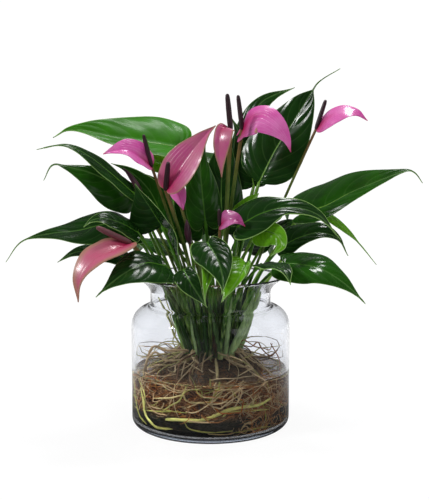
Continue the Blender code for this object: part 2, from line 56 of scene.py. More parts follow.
# ----------------------------------------------------------------------------------------------- layout
# The vase.
BODY_RADIUS, BASE_CORNER = 95.0, 10.0
SHOULDER_START, SHOULDER_END = 120.0, 144.0
NECK_RADIUS, NECK_END = 72.0, 160.0
RIM_RADIUS, VASE_HEIGHT = 89.5, 180.0
GLASS_FLOOR, INNER_CORNER, LIP_ROUND = 6.0, 8.0, 1.5
WALL_RINGS = (40.0, 70.0, 100.0)
WATER_OVERLAP = 0.15
TURNS = 112

# The crown, its growing places, how deep in it a stalk starts, and a leaf stalk's radius at foot and top.
CROWN_TOP, CROWN_STEMS = 90.0, 26
ROOT_PLACES, ROOT_SPREAD = 47, 34.0
FOOT_DEPTH = 5.0
STALK_FOOT, STALK_TOP = 3.9, 1.75

# The dense middle of the roots: levels on a ball from bottom to top, and their radii and heights.
MASS_LEVELS = (-1, -0.93, -0.6, 0, 0.5, 0.75, 0.9, 1)
MASS_RADII = (0, 72, 83, 79, 76, 60, 42, 0)
MASS_HEIGHTS = (9, 10, 22, 42, 60, 72, 82, 86)

# Side veins of a leaf: how many pairs, how far and how curved they lean to the tip, and how full it swells
# between them.
VEIN_PAIRS, VEIN_LEAN, VEIN_CURVE, SWELL_POWER = 9.0, 2.2, 1.25, 0.6

# How a leaf's blade and a spathe are made: rows, columns on each side, where the outline starts, and relief.
Make = namedtuple("Make", "rows columns start relief")
LEAF_MAKE, SPATHE_MAKE = Make(72, 10, 0.45, 0.75), Make(40, 9, 0.3, 0.0)
SPATHE_THICKNESS, SPATHE_CLEAR = 0.0008, 1.2

# Colours that only tint others: a stalk's root end and its streaks, and a greyer, darker tint for roots that stand
# out of the water, partly their drier skin and partly painted shade.
STALK_BASE, STALK_STREAK = (0.30, 0.32, 0.14), (0.42, 0.55, 0.22)
DRY_AND_SHADED_ROOT, DRY_AND_SHADED_MASS = (0.150, 0.140, 0.105), (0.060, 0.054, 0.038)

# The studio, in metres: lamps (name, place, size, power), the height they are aimed at, and the camera.
LAMPS = (("key", (-1.45, -0.75, 1.35), 0.30, 19), ("fill", (1.3, -1.0, 0.75), 1.2, 5),
         ("top", (0.15, 0.20, 1.45), 0.32, 10), ("back", (0.9, 1.0, 1.1), 0.4, 5))
LIT_HEIGHT = 0.22
CAMERA_PLACE, CAMERA_DIP, CAMERA_LENS = (0.0048, -1.040, 0.321), 6.1, 63.0

# Edge of a leaf blade: where it is along the midrib, its share of the half width, and where the row that
# ends there starts on the midrib.
LEAF_OUTLINE = (
    (0.00, 0.00, 0.00), (-0.07, 0.22, 0.008), (-0.10, 0.50, 0.02), (-0.06, 0.78, 0.05), (0.06, 0.96, 0.14),
    (0.20, 1.00, 0.26), (0.38, 0.90, 0.42), (0.56, 0.66, 0.58), (0.73, 0.37, 0.74), (0.87, 0.14, 0.87),
    (1.00, 0.00, 1.00))
WEDGE_OUTLINE = (
    (0.00, 0.00, 0.00), (0.03, 0.42, 0.01), (0.07, 0.66, 0.04), (0.12, 0.84, 0.09), (0.19, 0.95, 0.16),
    (0.29, 1.00, 0.26), (0.42, 0.95, 0.41), (0.58, 0.80, 0.575), (0.74, 0.58, 0.74), (0.88, 0.33, 0.88),
    (1.00, 0.00, 1.00))
NOTCHED_OUTLINE = (
    (0.00, 0.00, 0.00), (-0.06, 0.24, 0.008), (-0.08, 0.55, 0.02), (-0.02, 0.82, 0.06), (0.10, 1.00, 0.16),
    (0.24, 0.98, 0.28), (0.37, 0.72, 0.38), (0.47, 0.48, 0.48), (0.62, 0.42, 0.62), (0.78, 0.27, 0.78),
    (0.90, 0.12, 0.90), (1.00, 0.00, 1.00))
SPATHE_OUTLINE = (
    (0.00, 0.00, 0.00), (-0.02, 0.30, 0.01), (0.02, 0.60, 0.05), (0.12, 0.86, 0.14), (0.27, 1.00, 0.28),
    (0.43, 0.95, 0.43), (0.59, 0.74, 0.59), (0.74, 0.46, 0.74), (0.87, 0.20, 0.87), (1.00, 0.00, 1.00))

# A leaf: its growing place, its midrib, its half widths left and right, the way that its upper side faces, and
# its tone. fold lifts each half, arch bends it down, thread is the drawn-out share of the tip, wave is how far
# the edge ripples, in millimetres, and margin is how pale its edge is.
Leaf = namedtuple("Leaf", "root midrib halves face tone fold arch thread lobe outline wave margin",
                  defaults=("dark", (12, 12), (35, 35), 0.0, 1.0, LEAF_OUTLINE, 1.0, 0.3))
LEAVES = (
    # Left side of the plant.
    Leaf(6, [(-37, 26, 332), (-73, 18, 338), (-111, 10, 343), (-145, 4, 351), (-168, 0, 352), (-185, -4, 343)],
         (28, 46), (0, -0.85, 0.53), "fresh", fold=(33, 2), arch=(10, 30), thread=0.05, wave=1.5, margin=0.7),
    Leaf(17, [(-90, -20, 279), (-114, -26, 301), (-140, -32, 322), (-166, -38, 334), (-197, -42, 329)],
         (15, 13), (-0.25, -0.42, 0.87), fold=(4, 4), arch=(8, 8), thread=0.1),
    Leaf(30, [(-95, 10, 276), (-117, 0, 290), (-141, -10, 302), (-166, -17, 309), (-183, -22, 311),
              (-193, -26, 293)], (30, 15), (0, -0.85, 0.5), "green", fold=(2, 2), arch=(25, 15), thread=0.2),
    Leaf(9, [(-55, -3, 241), (-64, -5, 267), (-77, -8, 288), (-96, -12, 305), (-116, -13, 313)],
         (17, 20), (-0.5, -0.75, 0.4), "green"),
    Leaf(22, [(-57, 10, 263), (-63, 9, 279), (-74, 6, 293), (-88, 3, 304)], (13, 13), (0.1, -0.8, 0.5), "green"),
    Leaf(20, [(-56, -27, 241), (-63, -34, 253), (-72, -38, 268), (-81, -40, 282), (-86, -41, 290)],
         (36, 20), (-0.35, -0.85, 0.35), fold=(8, 52), arch=(30, 10), lobe=0.3, margin=0.1),
    Leaf(38, [(-92, -14, 237), (-119, -24, 243), (-153, -34, 236), (-185, -44, 233), (-214, -52, 225),
              (-232, -56, 202)], (35, 27), (0, -0.55, 0.83), thread=0.2, wave=2.0),
    Leaf(25, [(-83, -47, 235), (-100, -55, 246), (-119, -63, 252), (-132, -67, 250), (-141, -69, 243)],
         (22, 22), (0.1, -0.42, 0.9), lobe=0.3, margin=0.6),
    Leaf(43, [(-106, -2, 202), (-131, -10, 209), (-158, -18, 209), (-179, -24, 198)], (16, 16), (0, -0.6, 0.8)),
    Leaf(41, [(-51, -72, 200), (-70, -88, 205), (-90, -104, 197), (-106, -116, 186), (-121, -125, 173)],
         (33, 26), (-0.1, -0.62, 0.78), thread=0.06, lobe=0.5, margin=0.2),
    # Front, over the rim of the vase.
    Leaf(28, [(-29, -82, 196), (-23, -94, 187), (-14, -98, 173), (-3, -99, 157)], (12, 15), (-0.1, -0.8, 0.55),
         lobe=0.4, margin=0.8),
    Leaf(23, [(-3, -60, 224), (6, -78, 212), (12, -94, 198), (14, -106, 184), (13, -112, 174)],
         (20, 24), (0.1, -0.85, 0.5), margin=0.9),
    Leaf(36, [(0, -65, 200), (-2, -88, 191), (-5, -105, 178), (-5, -109, 163)],
         (6, 12), (0.4, -0.9, 0.2), "bright", fold=(40, 20), wave=0.4, margin=0.9),
    Leaf(44, [(40, -74, 203), (34, -88, 193), (25, -98, 180), (12, -104, 164)], (6, 25), (-0.1, -0.85, 0.5),
         "bright", wave=0.5, margin=0.9),
    Leaf(31, [(57, -68, 201), (68, -90, 202), (80, -107, 198), (86, -118, 185)],
         (26, 14), (0.2, -0.5, 0.85), lobe=0.5, margin=0.9),
    # Right side.
    Leaf(39, [(84, -48, 200), (101, -60, 200), (122, -72, 197), (142, -80, 186), (157, -86, 174),
              (171, -90, 160)], (27, 27), (0, -0.7, 0.7), "green", fold=(2, 12), thread=0.05),
    Leaf(34, [(80, -16, 213), (102, -22, 226), (127, -28, 233), (148, -33, 226), (159, -37, 207)],
         (26, 15), (0.1, -0.6, 0.8), thread=0.1, lobe=0.3, wave=1.6),
    Leaf(26, [(53, -54, 236), (65, -60, 237), (76, -66, 232), (79, -72, 221), (67, -76, 211)],
         (13, 18), (0.1, -0.93, 0.3), "bright", wave=0.6, margin=0.9),
    Leaf(18, [(31, -54, 242), (58, -52, 257), (90, -51, 264), (122, -53, 255), (148, -56, 227)],
         (29, 24), (0, -0.65, 0.76), thread=0.1, outline=NOTCHED_OUTLINE, wave=1.0, margin=0.9),
    Leaf(13, [(42, -22, 245), (45, -26, 259), (49, -27, 271), (56, -28, 279)], (20, 20), (0, -0.9, 0.4), "bright"),
    Leaf(29, [(112, 20, 253), (138, 12, 262), (166, 3, 278), (200, -6, 293), (228, -12, 304), (239, -14, 302),
              (248, -16, 290)], (44, 19), (0, -0.65, 0.75), "green", thread=0.1, wave=0.6, margin=0.1),
    Leaf(42, [(137, 28, 254), (157, 24, 239), (179, 20, 218), (202, 16, 190)], (10, 10), (0.3, -0.5, 0.8),
         "bright", thread=0.3, wave=0.3),
    # Tall leaves in the middle.
    Leaf(8, [(58, 14, 289), (78, 20, 329), (99, 22, 362), (120, 20, 396), (130, 18, 410), (154, 14, 425)],
         (38, 38), (-0.3, -0.93, 0.2), arch=(25, 25), thread=0.235, outline=WEDGE_OUTLINE),
    Leaf(32, [(37, 58, 319), (45, 62, 360), (66, 62, 390), (104, 58, 406)], (16, 24), (-0.4, -0.8, 0.45)),
    Leaf(11, [(14, 24, 237), (13, 30, 280), (16, 34, 323), (24, 32, 363)], (28, 28), (0, -1, 0.1)),
    Leaf(16, [(53, 36, 285), (48, 40, 311), (39, 42, 341), (26, 40, 368)], (22, 18), (0.1, -0.95, 0.2), lobe=0.3),
    Leaf(0, [(-6, -4, 244), (-10, -2, 282), (-12, 0, 315), (-5, 0, 344)], (22, 22), (0.1, -0.98, 0.15), "green"),
    Leaf(1, [(-25, 8, 224), (-30, 12, 250), (-39, 14, 274), (-46, 14, 286)], (18, 18), (-0.1, -0.95, 0.3), "green"),
    Leaf(14, [(-56, 46, 309), (-85, 48, 327), (-109, 48, 339), (-129, 48, 349)], (14, 18), (0, -0.8, 0.6), "bright"),
    # Back of the plant.
    Leaf(45, [(46, 54, 204), (58, 82, 214), (70, 108, 214), (78, 132, 202), (82, 150, 182)],
         (25, 25), (0.25, 0.4, 0.85)),
    Leaf(40, [(-4, 57, 226), (-2, 86, 242), (-4, 118, 240), (-8, 144, 220), (-10, 160, 194)],
         (27, 27), (0, 0.45, 0.85)),
    Leaf(35, [(-50, 36, 204), (-68, 62, 214), (-84, 90, 214), (-96, 114, 200), (-104, 132, 180)],
         (26, 26), (-0.25, 0.4, 0.85), "green"),
    Leaf(37, [(72, 36, 222), (92, 52, 236), (110, 68, 240), (124, 82, 232), (132, 92, 220)],
         (22, 22), (0.4, 0.3, 0.85)),
    Leaf(19, [(-4, 52, 290), (0, 78, 314), (6, 104, 324), (12, 130, 312), (16, 150, 286)],
         (27, 27), (0.1, 0.55, 0.8), "green"),
    Leaf(27, [(-34, 58, 250), (-48, 80, 268), (-64, 104, 272), (-78, 126, 258), (-88, 142, 234)],
         (24, 24), (-0.25, 0.5, 0.8)),
    Leaf(24, [(64, 40, 245), (78, 62, 261), (90, 84, 266), (98, 104, 254), (102, 118, 234)],
         (24, 24), (0.3, 0.45, 0.8), "green"),
    # Dark leaves that hang in the middle, behind the front ones.
    Leaf(21.5, [(40, 0, 228), (36, -3, 236), (32, -12, 226), (30, -18, 209), (30, -21, 196)], (15, 15),
         (0, -0.9, 0.4), margin=0.1),
    Leaf(47.75, [(-46, -15, 219), (-43, -31, 227), (-39, -42, 218), (-35, -51, 203), (-33, -57, 188)], (17, 17),
         (0, -0.9, 0.4), margin=0.1),
)

# A flower: its growing place, the midrib of its spathe, half widths and facing, the spadix's end, its tone and
# how thick its stalk and spadix are.
Flower = namedtuple("Flower", "root midrib halves face spadix tone fold arch stalk spike lobe",
                    defaults=("fresh", (25, 25), (20, 20), 1.9, 2.7, 1.0))
FLOWERS = (
    Flower(33, [(-89, -69, 225), (-107, -87, 218), (-127, -97, 208), (-141, -103, 188), (-143, -104, 164)],
           (25, 23), (-0.2, -0.5, 0.85), (-125, -82, 244), "aged", stalk=2.2, spike=3.4),
    Flower(4, [(-67, -34, 309), (-79, -42, 320), (-94, -48, 328), (-109, -52, 327), (-120, -54, 324)],
           (16, 19), (0.1, -0.65, 0.76), (-76, -38, 346), stalk=1.7, spike=2.5),
    Flower(7, [(-51, -40, 283), (-37, -44, 304), (-21, -44, 326), (-6, -42, 345), (6, -40, 356)],
           (22, 24), (-0.45, -0.85, 0.2), (-47, -54, 315), "old", stalk=2.2, spike=3.1),
    Flower(5, [(23, -46, 351), (14, -56, 353), (10, -62, 339), (10, -62, 322), (13, -60, 298)],
           (15, 7), (-0.5, -0.75, 0.4), (19, -48, 391), "old", stalk=2.6, spike=3.1),
    Flower(3, [(37, -14, 352), (46, -26, 365), (60, -34, 369), (76, -41, 358), (87, -44, 342), (91, -46, 326)],
           (14, 26), (-0.1, -0.7, 0.7), (32, -12, 392), fold=(5, 5), stalk=2.2, spike=2.8, lobe=8.0),
    Flower(21, [(124, -4, 353), (137, -12, 366), (152, -18, 373), (168, -22, 372), (181, -24, 362)],
           (15, 17), (0, -0.65, 0.76), (135, -4, 387), fold=(-6, 15), stalk=1.6, spike=2.6),
    Flower(10, [(11, -50, 243), (19, -61, 250), (29, -66, 251), (39, -68, 244)],
           (12, 11), (-0.1, -0.8, 0.55), (10, -52, 262), "young", stalk=1.7, spike=2.3),
    Flower(2, [(-41, -24, 284), (-38, -33, 279), (-34, -37, 270), (-31, -37, 260)],
           (12, 10), (0, -0.97, 0.25), (-36, -37, 266), "fresh", fold=(38, 38), arch=(10, 10), stalk=1.7, spike=2.2),
)

# A flower that is still rolled up: its growing place, its middle line and its radius.
Bud = namedtuple("Bud", "root line radius")
BUDS = (
    Bud(12, [(-78, -26, 271), (-84, -30, 286), (-92, -33, 299), (-100, -35, 308)], 3.6),
    Bud(15, [(-24, -38, 222), (-26, -42, 236), (-27, -44, 250)], 4.0),
)

# The roots that stand out one by one: middle line, thickest radius and tone (0 dark brown, 0.25 rust, 0.5 tan,
# 0.75 olive, 1 pale yellow-green).
SINGLE_ROOTS = (
    ([(-58, -50, 20), (-39, -76, 26), (-14, -82, 27), (2, -82, 31), (16, -81, 37), (32, -80, 41), (54, -70, 41),
      (66, -52, 44)], 2.2, 1.0),
    ([(-4, -80, 22), (8, -80, 27), (17, -79, 33), (28, -79, 36), (52, -70, 35), (64, -56, 32)], 1.1, 1.0),
    ([(-76, -36, 52), (-75, -46, 40), (-73, -52, 25), (-66, -60, 17), (-57, -62, 12), (-40, -62, 12)], 1.7, 0.94),
    ([(-74, -44, 28), (-58, -60, 31), (-39, -68, 34), (-12, -74, 38), (4, -72, 40)], 1.0, 0.86),
    ([(-62, -60, 46), (-55, -72, 49), (-44, -78, 51), (-30, -80, 55), (-27, -80, 50), (-21, -80, 47), (-9, -80, 47),
      (3, -80, 49), (11, -79, 56), (15, -76, 64)], 1.1, 0.6),
    ([(-25, -76, 66), (-30, -78, 55), (-35, -78, 47), (-42, -76, 43), (-52, -70, 34)], 1.0, 0.66),
    ([(-84, -16, 66), (-86, -26, 48), (-85, -32, 34), (-80, -40, 20), (-70, -48, 12)], 1.2, 0.8),
    ([(-78, -34, 60), (-74, -48, 50), (-73, -50, 38), (-75, -46, 28)], 1.1, 0.9),
    ([(-28, -80, 24), (-23, -80, 17), (-9, -78, 13), (6, -76, 12), (24, -74, 13)], 0.8, 0.84),
    ([(33, -72, 13), (38, -73, 20), (47, -71, 23), (56, -64, 28)], 1.0, 0.55),
    ([(22, -68, 9), (38, -68, 11), (56, -62, 13), (66, -54, 11)], 0.9, 0.7),
    ([(45, -74, 38), (47, -75, 46), (51, -73, 52)], 1.0, 0.6),
    ([(-12, -26, 92), (-36, -30, 95), (-53, -31, 95), (-61, -31, 99), (-67, -31, 99), (-72, -33, 90), (-75, -34, 76),
      (-74, -40, 62)], 1.5, 0.42),
    ([(-20, -34, 86), (-41, -40, 85), (-53, -41, 86), (-61, -41, 94), (-66, -41, 94), (-72, -41, 87), (-76, -38, 76),
      (-78, -32, 60)], 1.3, 0.48),
    ([(30, -16, 96), (39, -20, 105), (45, -20, 102), (53, -20, 97), (63, -20, 95), (70, -20, 93), (73, -20, 101)],
     0.7, 0.2),
    ([(34, -18, 100), (48, -20, 97), (56, -18, 102), (62, -14, 92), (72, -12, 84), (80, -16, 92)], 0.8, 0.15),
    ([(71, -20, 101), (76, -20, 92), (81, -20, 82), (82, -24, 68)], 0.8, 0.3),
    ([(6, -36, 86), (7, -50, 82), (8, -58, 72), (7, -62, 62)], 1.8, 0.6),
    ([(-60, -28, 158), (-52, -29, 140), (-46, -29, 129), (-42, -28, 113), (-33, -26, 96)], 1.3, 0.75),
    ([(-54, -18, 158), (-47, -22, 136), (-41, -24, 118), (-44, -28, 104), (-36, -28, 92)], 0.8, 0.7),
)

# Sheaths around the feet of the stalks, wider and narrower ones: middle line, widest radius and tone (0 maroon,
# 1 pale green).
SHEATHS = (
    ([(25, -22, 90), (33, -27, 108), (42, -31, 128), (52, -34, 148), (58, -36, 166)], 4.2, 1.0),
    ([(22, -29, 88), (29, -35, 106), (37, -39, 126), (46, -42, 150), (50, -44, 166)], 3.6, 0.85),
    ([(17, -31, 88), (19, -38, 106), (21, -41, 128), (23, -44, 150), (25, -45, 166)], 2.9, 0.7),
    ([(5, -33, 88), (6, -39, 106), (5, -42, 128), (2, -42, 146)], 4.2, 0.0),
    ([(11, -32, 88), (9, -39, 104), (6, -43, 122), (2, -45, 140), (-1, -46, 156)], 1.9, 0.5),
    ([(-5, -33, 88), (-6, -40, 106), (-7, -42, 126), (-9, -43, 146)], 2.6, 0.35),
    ([(-12, -32, 88), (-13, -38, 104), (-17, -41, 122), (-23, -43, 144), (-27, -44, 160)], 2.2, 0.45),
    ([(-15, -30, 88), (-18, -36, 104), (-21, -40, 122), (-22, -42, 142)], 1.8, 0.9),
    ([(-21, -27, 88), (-26, -32, 106), (-32, -35, 124), (-39, -37, 144)], 2.8, 0.3),
    ([(-26, -20, 88), (-31, -25, 106), (-38, -28, 126), (-46, -30, 148), (-50, -31, 160)], 2.6, 0.5),
    ([(34, -4, 90), (40, -4, 110), (47, -5, 132), (53, -6, 148)], 5.0, 0.7),
    ([(20, 28, 90), (25, 34, 112), (29, 38, 136)], 5.0, 0.8),
    ([(-16, 30, 90), (-20, 36, 110), (-24, 40, 134)], 5.2, 0.3),
    ([(-2, 34, 90), (-1, 41, 110), (2, 45, 132)], 4.6, 0.9),
)


# ------------------------------------------------------------------------------------------- geometry
def unit(vector):
    vector = np.asarray(vector, float)
    return vector / np.linalg.norm(vector)


def distances(line):
    """How far along the line each of its points is."""
    return np.concatenate(([0.0], np.cumsum(np.linalg.norm(np.diff(line, axis=0), axis=1))))


def spline(knots, at):
    """Catmull-Rom curve through the knots, read at knot numbers such as 1.5."""
    knots = np.asarray(knots, float)
    padded = np.vstack([2 * knots[0] - knots[1], knots, 2 * knots[-1] - knots[-2]])
    at = np.asarray(at, float)
    start = np.minimum(at.astype(int), len(knots) - 2)
    t = (at - start)[:, None]
    a, b, c, d = (padded[start + i] for i in range(4))
    return 0.5 * (2 * b + (c - a) * t + (2 * a - 5 * b + 4 * c - d) * t * t + (3 * b - a - 3 * c + d) * t ** 3)


def smooth_line(knots, count):
    """A smooth curve through the knots, as a number of points at equal distances."""
    line = spline(knots, np.linspace(0, len(knots) - 1, 24 * (len(knots) - 1) + 1))
    along = distances(line)
    marks = np.linspace(0.0, along[-1], count)
    return np.stack([np.interp(marks, along, line[:, axis]) for axis in range(3)], axis=1)


def carried_frames(line, face):
    """Tangent, side and normal at each point of a line, carried along it without turning about it."""
    tangent = np.gradient(line, axis=0)
    tangent /= np.linalg.norm(tangent, axis=1)[:, None]
    normal = np.empty_like(tangent)
    face = np.asarray(face, float)
    normal[0] = unit(face - np.dot(face, tangent[0]) * tangent[0])
    for i in range(1, len(line)):
        axis = np.cross(tangent[i - 1], tangent[i])
        sine = np.linalg.norm(axis)
        turned = normal[i - 1]
        if sine > 1e-9:
            axis /= sine
            angle = math.atan2(sine, np.dot(tangent[i - 1], tangent[i]))
            turned = (turned * math.cos(angle) + np.cross(axis, turned) * math.sin(angle)
                      + axis * np.dot(axis, turned) * (1 - math.cos(angle)))
        normal[i] = unit(turned - np.dot(turned, tangent[i]) * tangent[i])
    return tangent, np.cross(tangent, normal), normal


def swelling(along, aside):
    """How far a blade swells (0 to 1) between its side veins, which leave the midrib and curve towards the tip."""
    count = along * VEIN_PAIRS - VEIN_LEAN * aside ** VEIN_CURVE
    gap = np.abs((count + 0.5) % 1.0 - 0.5) * 2
    return gap ** SWELL_POWER * np.interp(aside, (0.0, 0.12, 0.75, 1.0), (0.0, 1.0, 1.0, 0.25))


def blade_rows(shape, outline, make, thread=0.0, wave=0.0, phase=0.0):
    """Points over a blade or spathe with, for each, its distance to the edge and to the midrib (mm)."""
    rows, columns = make.rows, make.columns
    line = smooth_line(shape.midrib, 121)
    length = np.linalg.norm(np.diff(line, axis=0), axis=1).sum()
    tangent, side, normal = carried_frames(line, shape.face)
    last = len(outline) - 1
    along_share = np.linspace(0, 1, rows)
    body = 0.84 if thread else 1.0
    table = spline(outline, make.start + (last - make.start) * np.clip(along_share / body, 0, 1) ** 0.92)
    edge_at, width, start = table[:, 0].copy(), np.clip(table[:, 1], 0, None), np.clip(table[:, 2], 0, 1)
    edge_at = np.where(edge_at < 0, edge_at * shape.lobe, edge_at)
    tail = np.clip((along_share - body) / (1.001 - body), 0, 1)
    edge_at = edge_at * (1 - thread) + thread * tail
    start = start * (1 - thread) + thread * tail
    thinnest = 1.1 - 0.9 * tail if thread else np.full(rows, 0.35)
    points = np.zeros((rows, 2 * columns + 1, 3))
    to_edge = np.zeros((rows, 2 * columns + 1))
    to_rib = np.zeros_like(to_edge)
    for column in range(-columns, columns + 1):
        share = (abs(column) / columns) ** 0.9
        hand = 1 if column > 0 else -1
        half = shape.halves[column > 0]
        tilt, bend = math.radians(shape.fold[column > 0]), math.radians(shape.arch[column > 0]) / half
        along = start + (edge_at - start) * share ** 1.15
        widest = np.maximum(width * half, thinnest)
        out = widest * share
        run = (math.sin(tilt) - np.sin(tilt - bend * out)) / bend
        rise = (np.cos(tilt - bend * out) - math.cos(tilt)) / bend
        ripple = np.sin(along_share * 17 + phase + hand * 1.3) + 0.6 * np.sin(along_share * 31 + 2 * phase - hand)
        rise = rise + wave * share ** 2.2 * ripple * np.clip(width, 0.1, 1)
        rise = rise + make.relief * swelling(along_share, abs(column) / columns) * np.clip(widest / 15, 0, 1)
        place = np.clip(along, 0, 1) * (len(line) - 1)
        base = np.minimum(place.astype(int), len(line) - 2)
        part = (place - base)[:, None]
        spine, sideways, upward = (values[base] * (1 - part) + values[base + 1] * part
                                   for values in (line, side, normal))
        spine = spine + tangent[0] * (np.minimum(along, 0) * length)[:, None]
        points[:, column + columns] = spine + sideways * (hand * run)[:, None] + upward * rise[:, None]
        to_edge[:, column + columns] = widest * (1 - share)
        to_rib[:, column + columns] = out
    return points, to_edge, to_rib, line, normal


def growing_place(number):
    """Where a stalk leaves the crown: places turn by the golden angle, from the middle outwards."""
    angle = number * math.pi * (3 - math.sqrt(5))
    radius = ROOT_SPREAD * math.sqrt((number + 0.5) / ROOT_PLACES)
    return np.array([radius * math.cos(angle), radius * math.sin(angle), CROWN_TOP])


def stalk_line(number, end, count):
    """A stalk's middle line: up out of the crown, through the vase's neck, and out to where it ends."""
    foot = growing_place(number)
    neck = np.array([foot[0] * 1.5, foot[1] * 1.5, 150.0])
    aim = unit(unit(end - np.array([foot[0] * 1.2, foot[1] * 1.2, 165.0])) + np.array([0, 0, 0.12]))
    last = end - aim * np.linalg.norm(end - foot) * 0.35
    t = np.linspace(0, 1, count)[:, None]
    line = (1 - t) ** 3 * foot + 3 * (1 - t) ** 2 * t * neck + 3 * (1 - t) * t * t * last + t ** 3 * end
    line[0, 2] -= FOOT_DEPTH
    return line


def arc(centre, radius, start, end, steps):
    """Points (r, z) on an arc, with angles in degrees from the outward direction."""
    angles = np.radians(np.linspace(start, end, steps + 1))
    return [(centre[0] + radius[0] * math.cos(a), centre[1] + radius[1] * math.sin(a)) for a in angles]


# -------------------------------------------------------------------------------------- modelling helpers
def nothing_selected():
    bpy.ops.object.select_all(action="DESELECT")


def make_active(thing):
    nothing_selected()
    thing.select_set(True)
    bpy.context.view_layer.objects.active = thing


def named(name):
    """The piece that the last step left active, under its name."""
    thing = bpy.context.object
    thing.name = thing.data.name = name
    return thing


def linked(name, data):
    """A new object in the scene."""
    thing = bpy.data.objects.new(name, data)
    bpy.context.scene.collection.objects.link(thing)
    return thing


def modifier(thing, kind, **settings):
    """Adds a modifier with its settings and applies it."""
    make_active(thing)
    step = thing.modifiers.new(kind.lower(), kind)
    for name, value in settings.items():
        setattr(step, name, value)
    bpy.ops.object.modifier_apply(modifier=step.name)


def on_all_of(thing, step, **settings):
    """Runs one edit-mode step on the whole of a piece."""
    make_active(thing)
    bpy.ops.object.mode_set(mode="EDIT")
    bpy.ops.mesh.select_all(action="SELECT")
    step(**settings)
    bpy.ops.object.mode_set(mode="OBJECT")


def spots_of(thing):
    """The places of a piece's points, in metres."""
    spots = np.empty(len(thing.data.vertices) * 3, np.float32)
    thing.data.vertices.foreach_get("co", spots)
    return spots.reshape(-1, 3)


def move_spots(thing, places):
    """Puts a piece's points at these places (mm)."""
    thing.data.vertices.foreach_set("co", (places * MM).astype(np.float32).ravel())


def point_values(thing, name, values):
    """Stores one number for each point, for the materials to read."""
    layer = thing.data.attributes.new(name, "FLOAT", "POINT")
    layer.data.foreach_set("value", np.asarray(values, np.float32).ravel())


def lofted(name, points, thickness, finishes, **values):
    """A blade over rows of points (mm), with its own UV map, its thickness, and numbers stored for each point.
    Its finishes are those of its upper side, its underside and its rim."""
    rows, columns = points.shape[:2]
    nothing_selected()
    bpy.ops.mesh.primitive_grid_add(x_subdivisions=columns - 1, y_subdivisions=rows - 1, size=1)
    sheet = named(name)
    flat = spots_of(sheet)
    column = np.rint((flat[:, 0] + 0.5) * (columns - 1)).astype(int)
    row = np.rint((flat[:, 1] + 0.5) * (rows - 1)).astype(int)
    move_spots(sheet, points[row, column])
    for key, table in values.items():
        point_values(sheet, key, table[row, column])
    sheet.data.update()
    coated(sheet, *finishes)
    modifier(sheet, "SOLIDIFY", thickness=thickness, offset=-1.0, material_offset=1, material_offset_rim=2)
    return sheet


def rods(name, lines, radii, sides):
    """Round rods along lines (mm), each with its radius at every point, as one mesh with closed ends."""
    curve = bpy.data.curves.new(name, "CURVE")
    curve.dimensions = "3D"
    curve.bevel_depth = MM
    curve.bevel_resolution = sides
    curve.use_fill_caps = True
    for line, radius in zip(lines, radii):
        rod = curve.splines.new("POLY")
        rod.points.add(len(line) - 1)
        rod.points.foreach_set("co", np.column_stack([line * MM, np.ones(len(line))]).astype(np.float32).ravel())
        rod.points.foreach_set("radius", np.asarray(radius, np.float32))
    make_active(linked(name, curve))
    bpy.ops.object.convert(target="MESH")
    thing = named(name)
    on_all_of(thing, bpy.ops.mesh.remove_doubles, threshold=1e-6)
    return thing


def marked_rod(line, radii, sides, finish, marks=None):
    """One rod that knows how far along its line (0 to 1) each of its points is."""
    rod = rods("rod", [line], [radii], sides)
    marks = line if marks is None else marks
    spots, steps = spots_of(rod) / MM, distances(marks)
    nearest = np.argmin(((spots[:, None, :] - marks[None, :, :]) ** 2).sum(axis=2), axis=1)
    point_values(rod, "along", steps[nearest] / steps[-1])
    return coated(rod, finish)


def rod_bundle(name, rows, finish, sides):
    """Many rods as one mesh, from rows of path, radii and tone."""
    paths, radii, tones = zip(*rows)
    bundle = rods(name, paths, radii, sides)
    spots, everything = spots_of(bundle) / MM, np.vstack(paths)
    owner = np.concatenate([np.full(len(path), tone) for path, tone in zip(paths, tones)])
    tone = np.empty(len(spots))
    for first in range(0, len(spots), 2000):
        part = spots[first:first + 2000]
        distance = ((part[:, None, :] - everything[None, :, :]) ** 2).sum(axis=2)
        tone[first:first + 2000] = owner[np.argmin(distance, axis=1)]
    point_values(bundle, "tone", tone)
    return coated(bundle, finish)


def turned(name, profile, finish):
    """A turned piece from its profile of (r, z) in millimetres, from the axis round to the axis."""
    mesh = bpy.data.meshes.new(name)
    mesh.from_pydata([(r * MM, 0.0, z * MM) for r, z in profile], [(i, i + 1) for i in range(len(profile) - 1)], [])
    thing = linked(name, mesh)
    modifier(thing, "SCREW", steps=TURNS, render_steps=TURNS, use_merge_vertices=True, merge_threshold=1e-5,
             use_smooth_shade=True)
    on_all_of(thing, bpy.ops.mesh.normals_make_consistent, inside=False)
    return coated(thing, finish)


def joined(things, name):
    make_active(things[0])
    for thing in things:
        thing.select_set(True)
    bpy.ops.object.join()
    return named(name)


def coated(thing, *finishes):
    """The piece with its finishes, in the order of its material slots."""
    for finish in finishes:
        thing.data.materials.append(material(finish))
    return thing


def keep(thing, slot, angle, *nodes):
    """Smooths a finished piece and hands it to the frame, in place of its CAD node."""
    make_active(thing)
    bpy.ops.object.shade_smooth_by_angle(angle=math.radians(angle))
    nothing_selected()
    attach(thing, BODY)
    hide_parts(*nodes)


# ---------------------------------------------------------------------------------------------- materials
def feed(socket, value):
    """Gives a socket a number, a colour or a wire from another node."""
    if isinstance(value, Wire):
        socket.id_data.links.new(value.socket, socket)
    else:
        socket.default_value = (*value, 1.0) if socket.type == "RGBA" else value


def add(tree, kind, inputs=None, **settings):
    """A shader node with its settings and inputs, as the wires that come out of it."""
    made = tree.nodes.new("ShaderNode" + kind)
    for key, value in settings.items():
        setattr(made, key, value)
    for socket, value in (inputs or {}).items():
        feed(made.inputs[socket], value)
    return [Wire(socket) for socket in made.outputs]


def by_name(wires):
    return {wire.socket.name: wire for wire in wires}


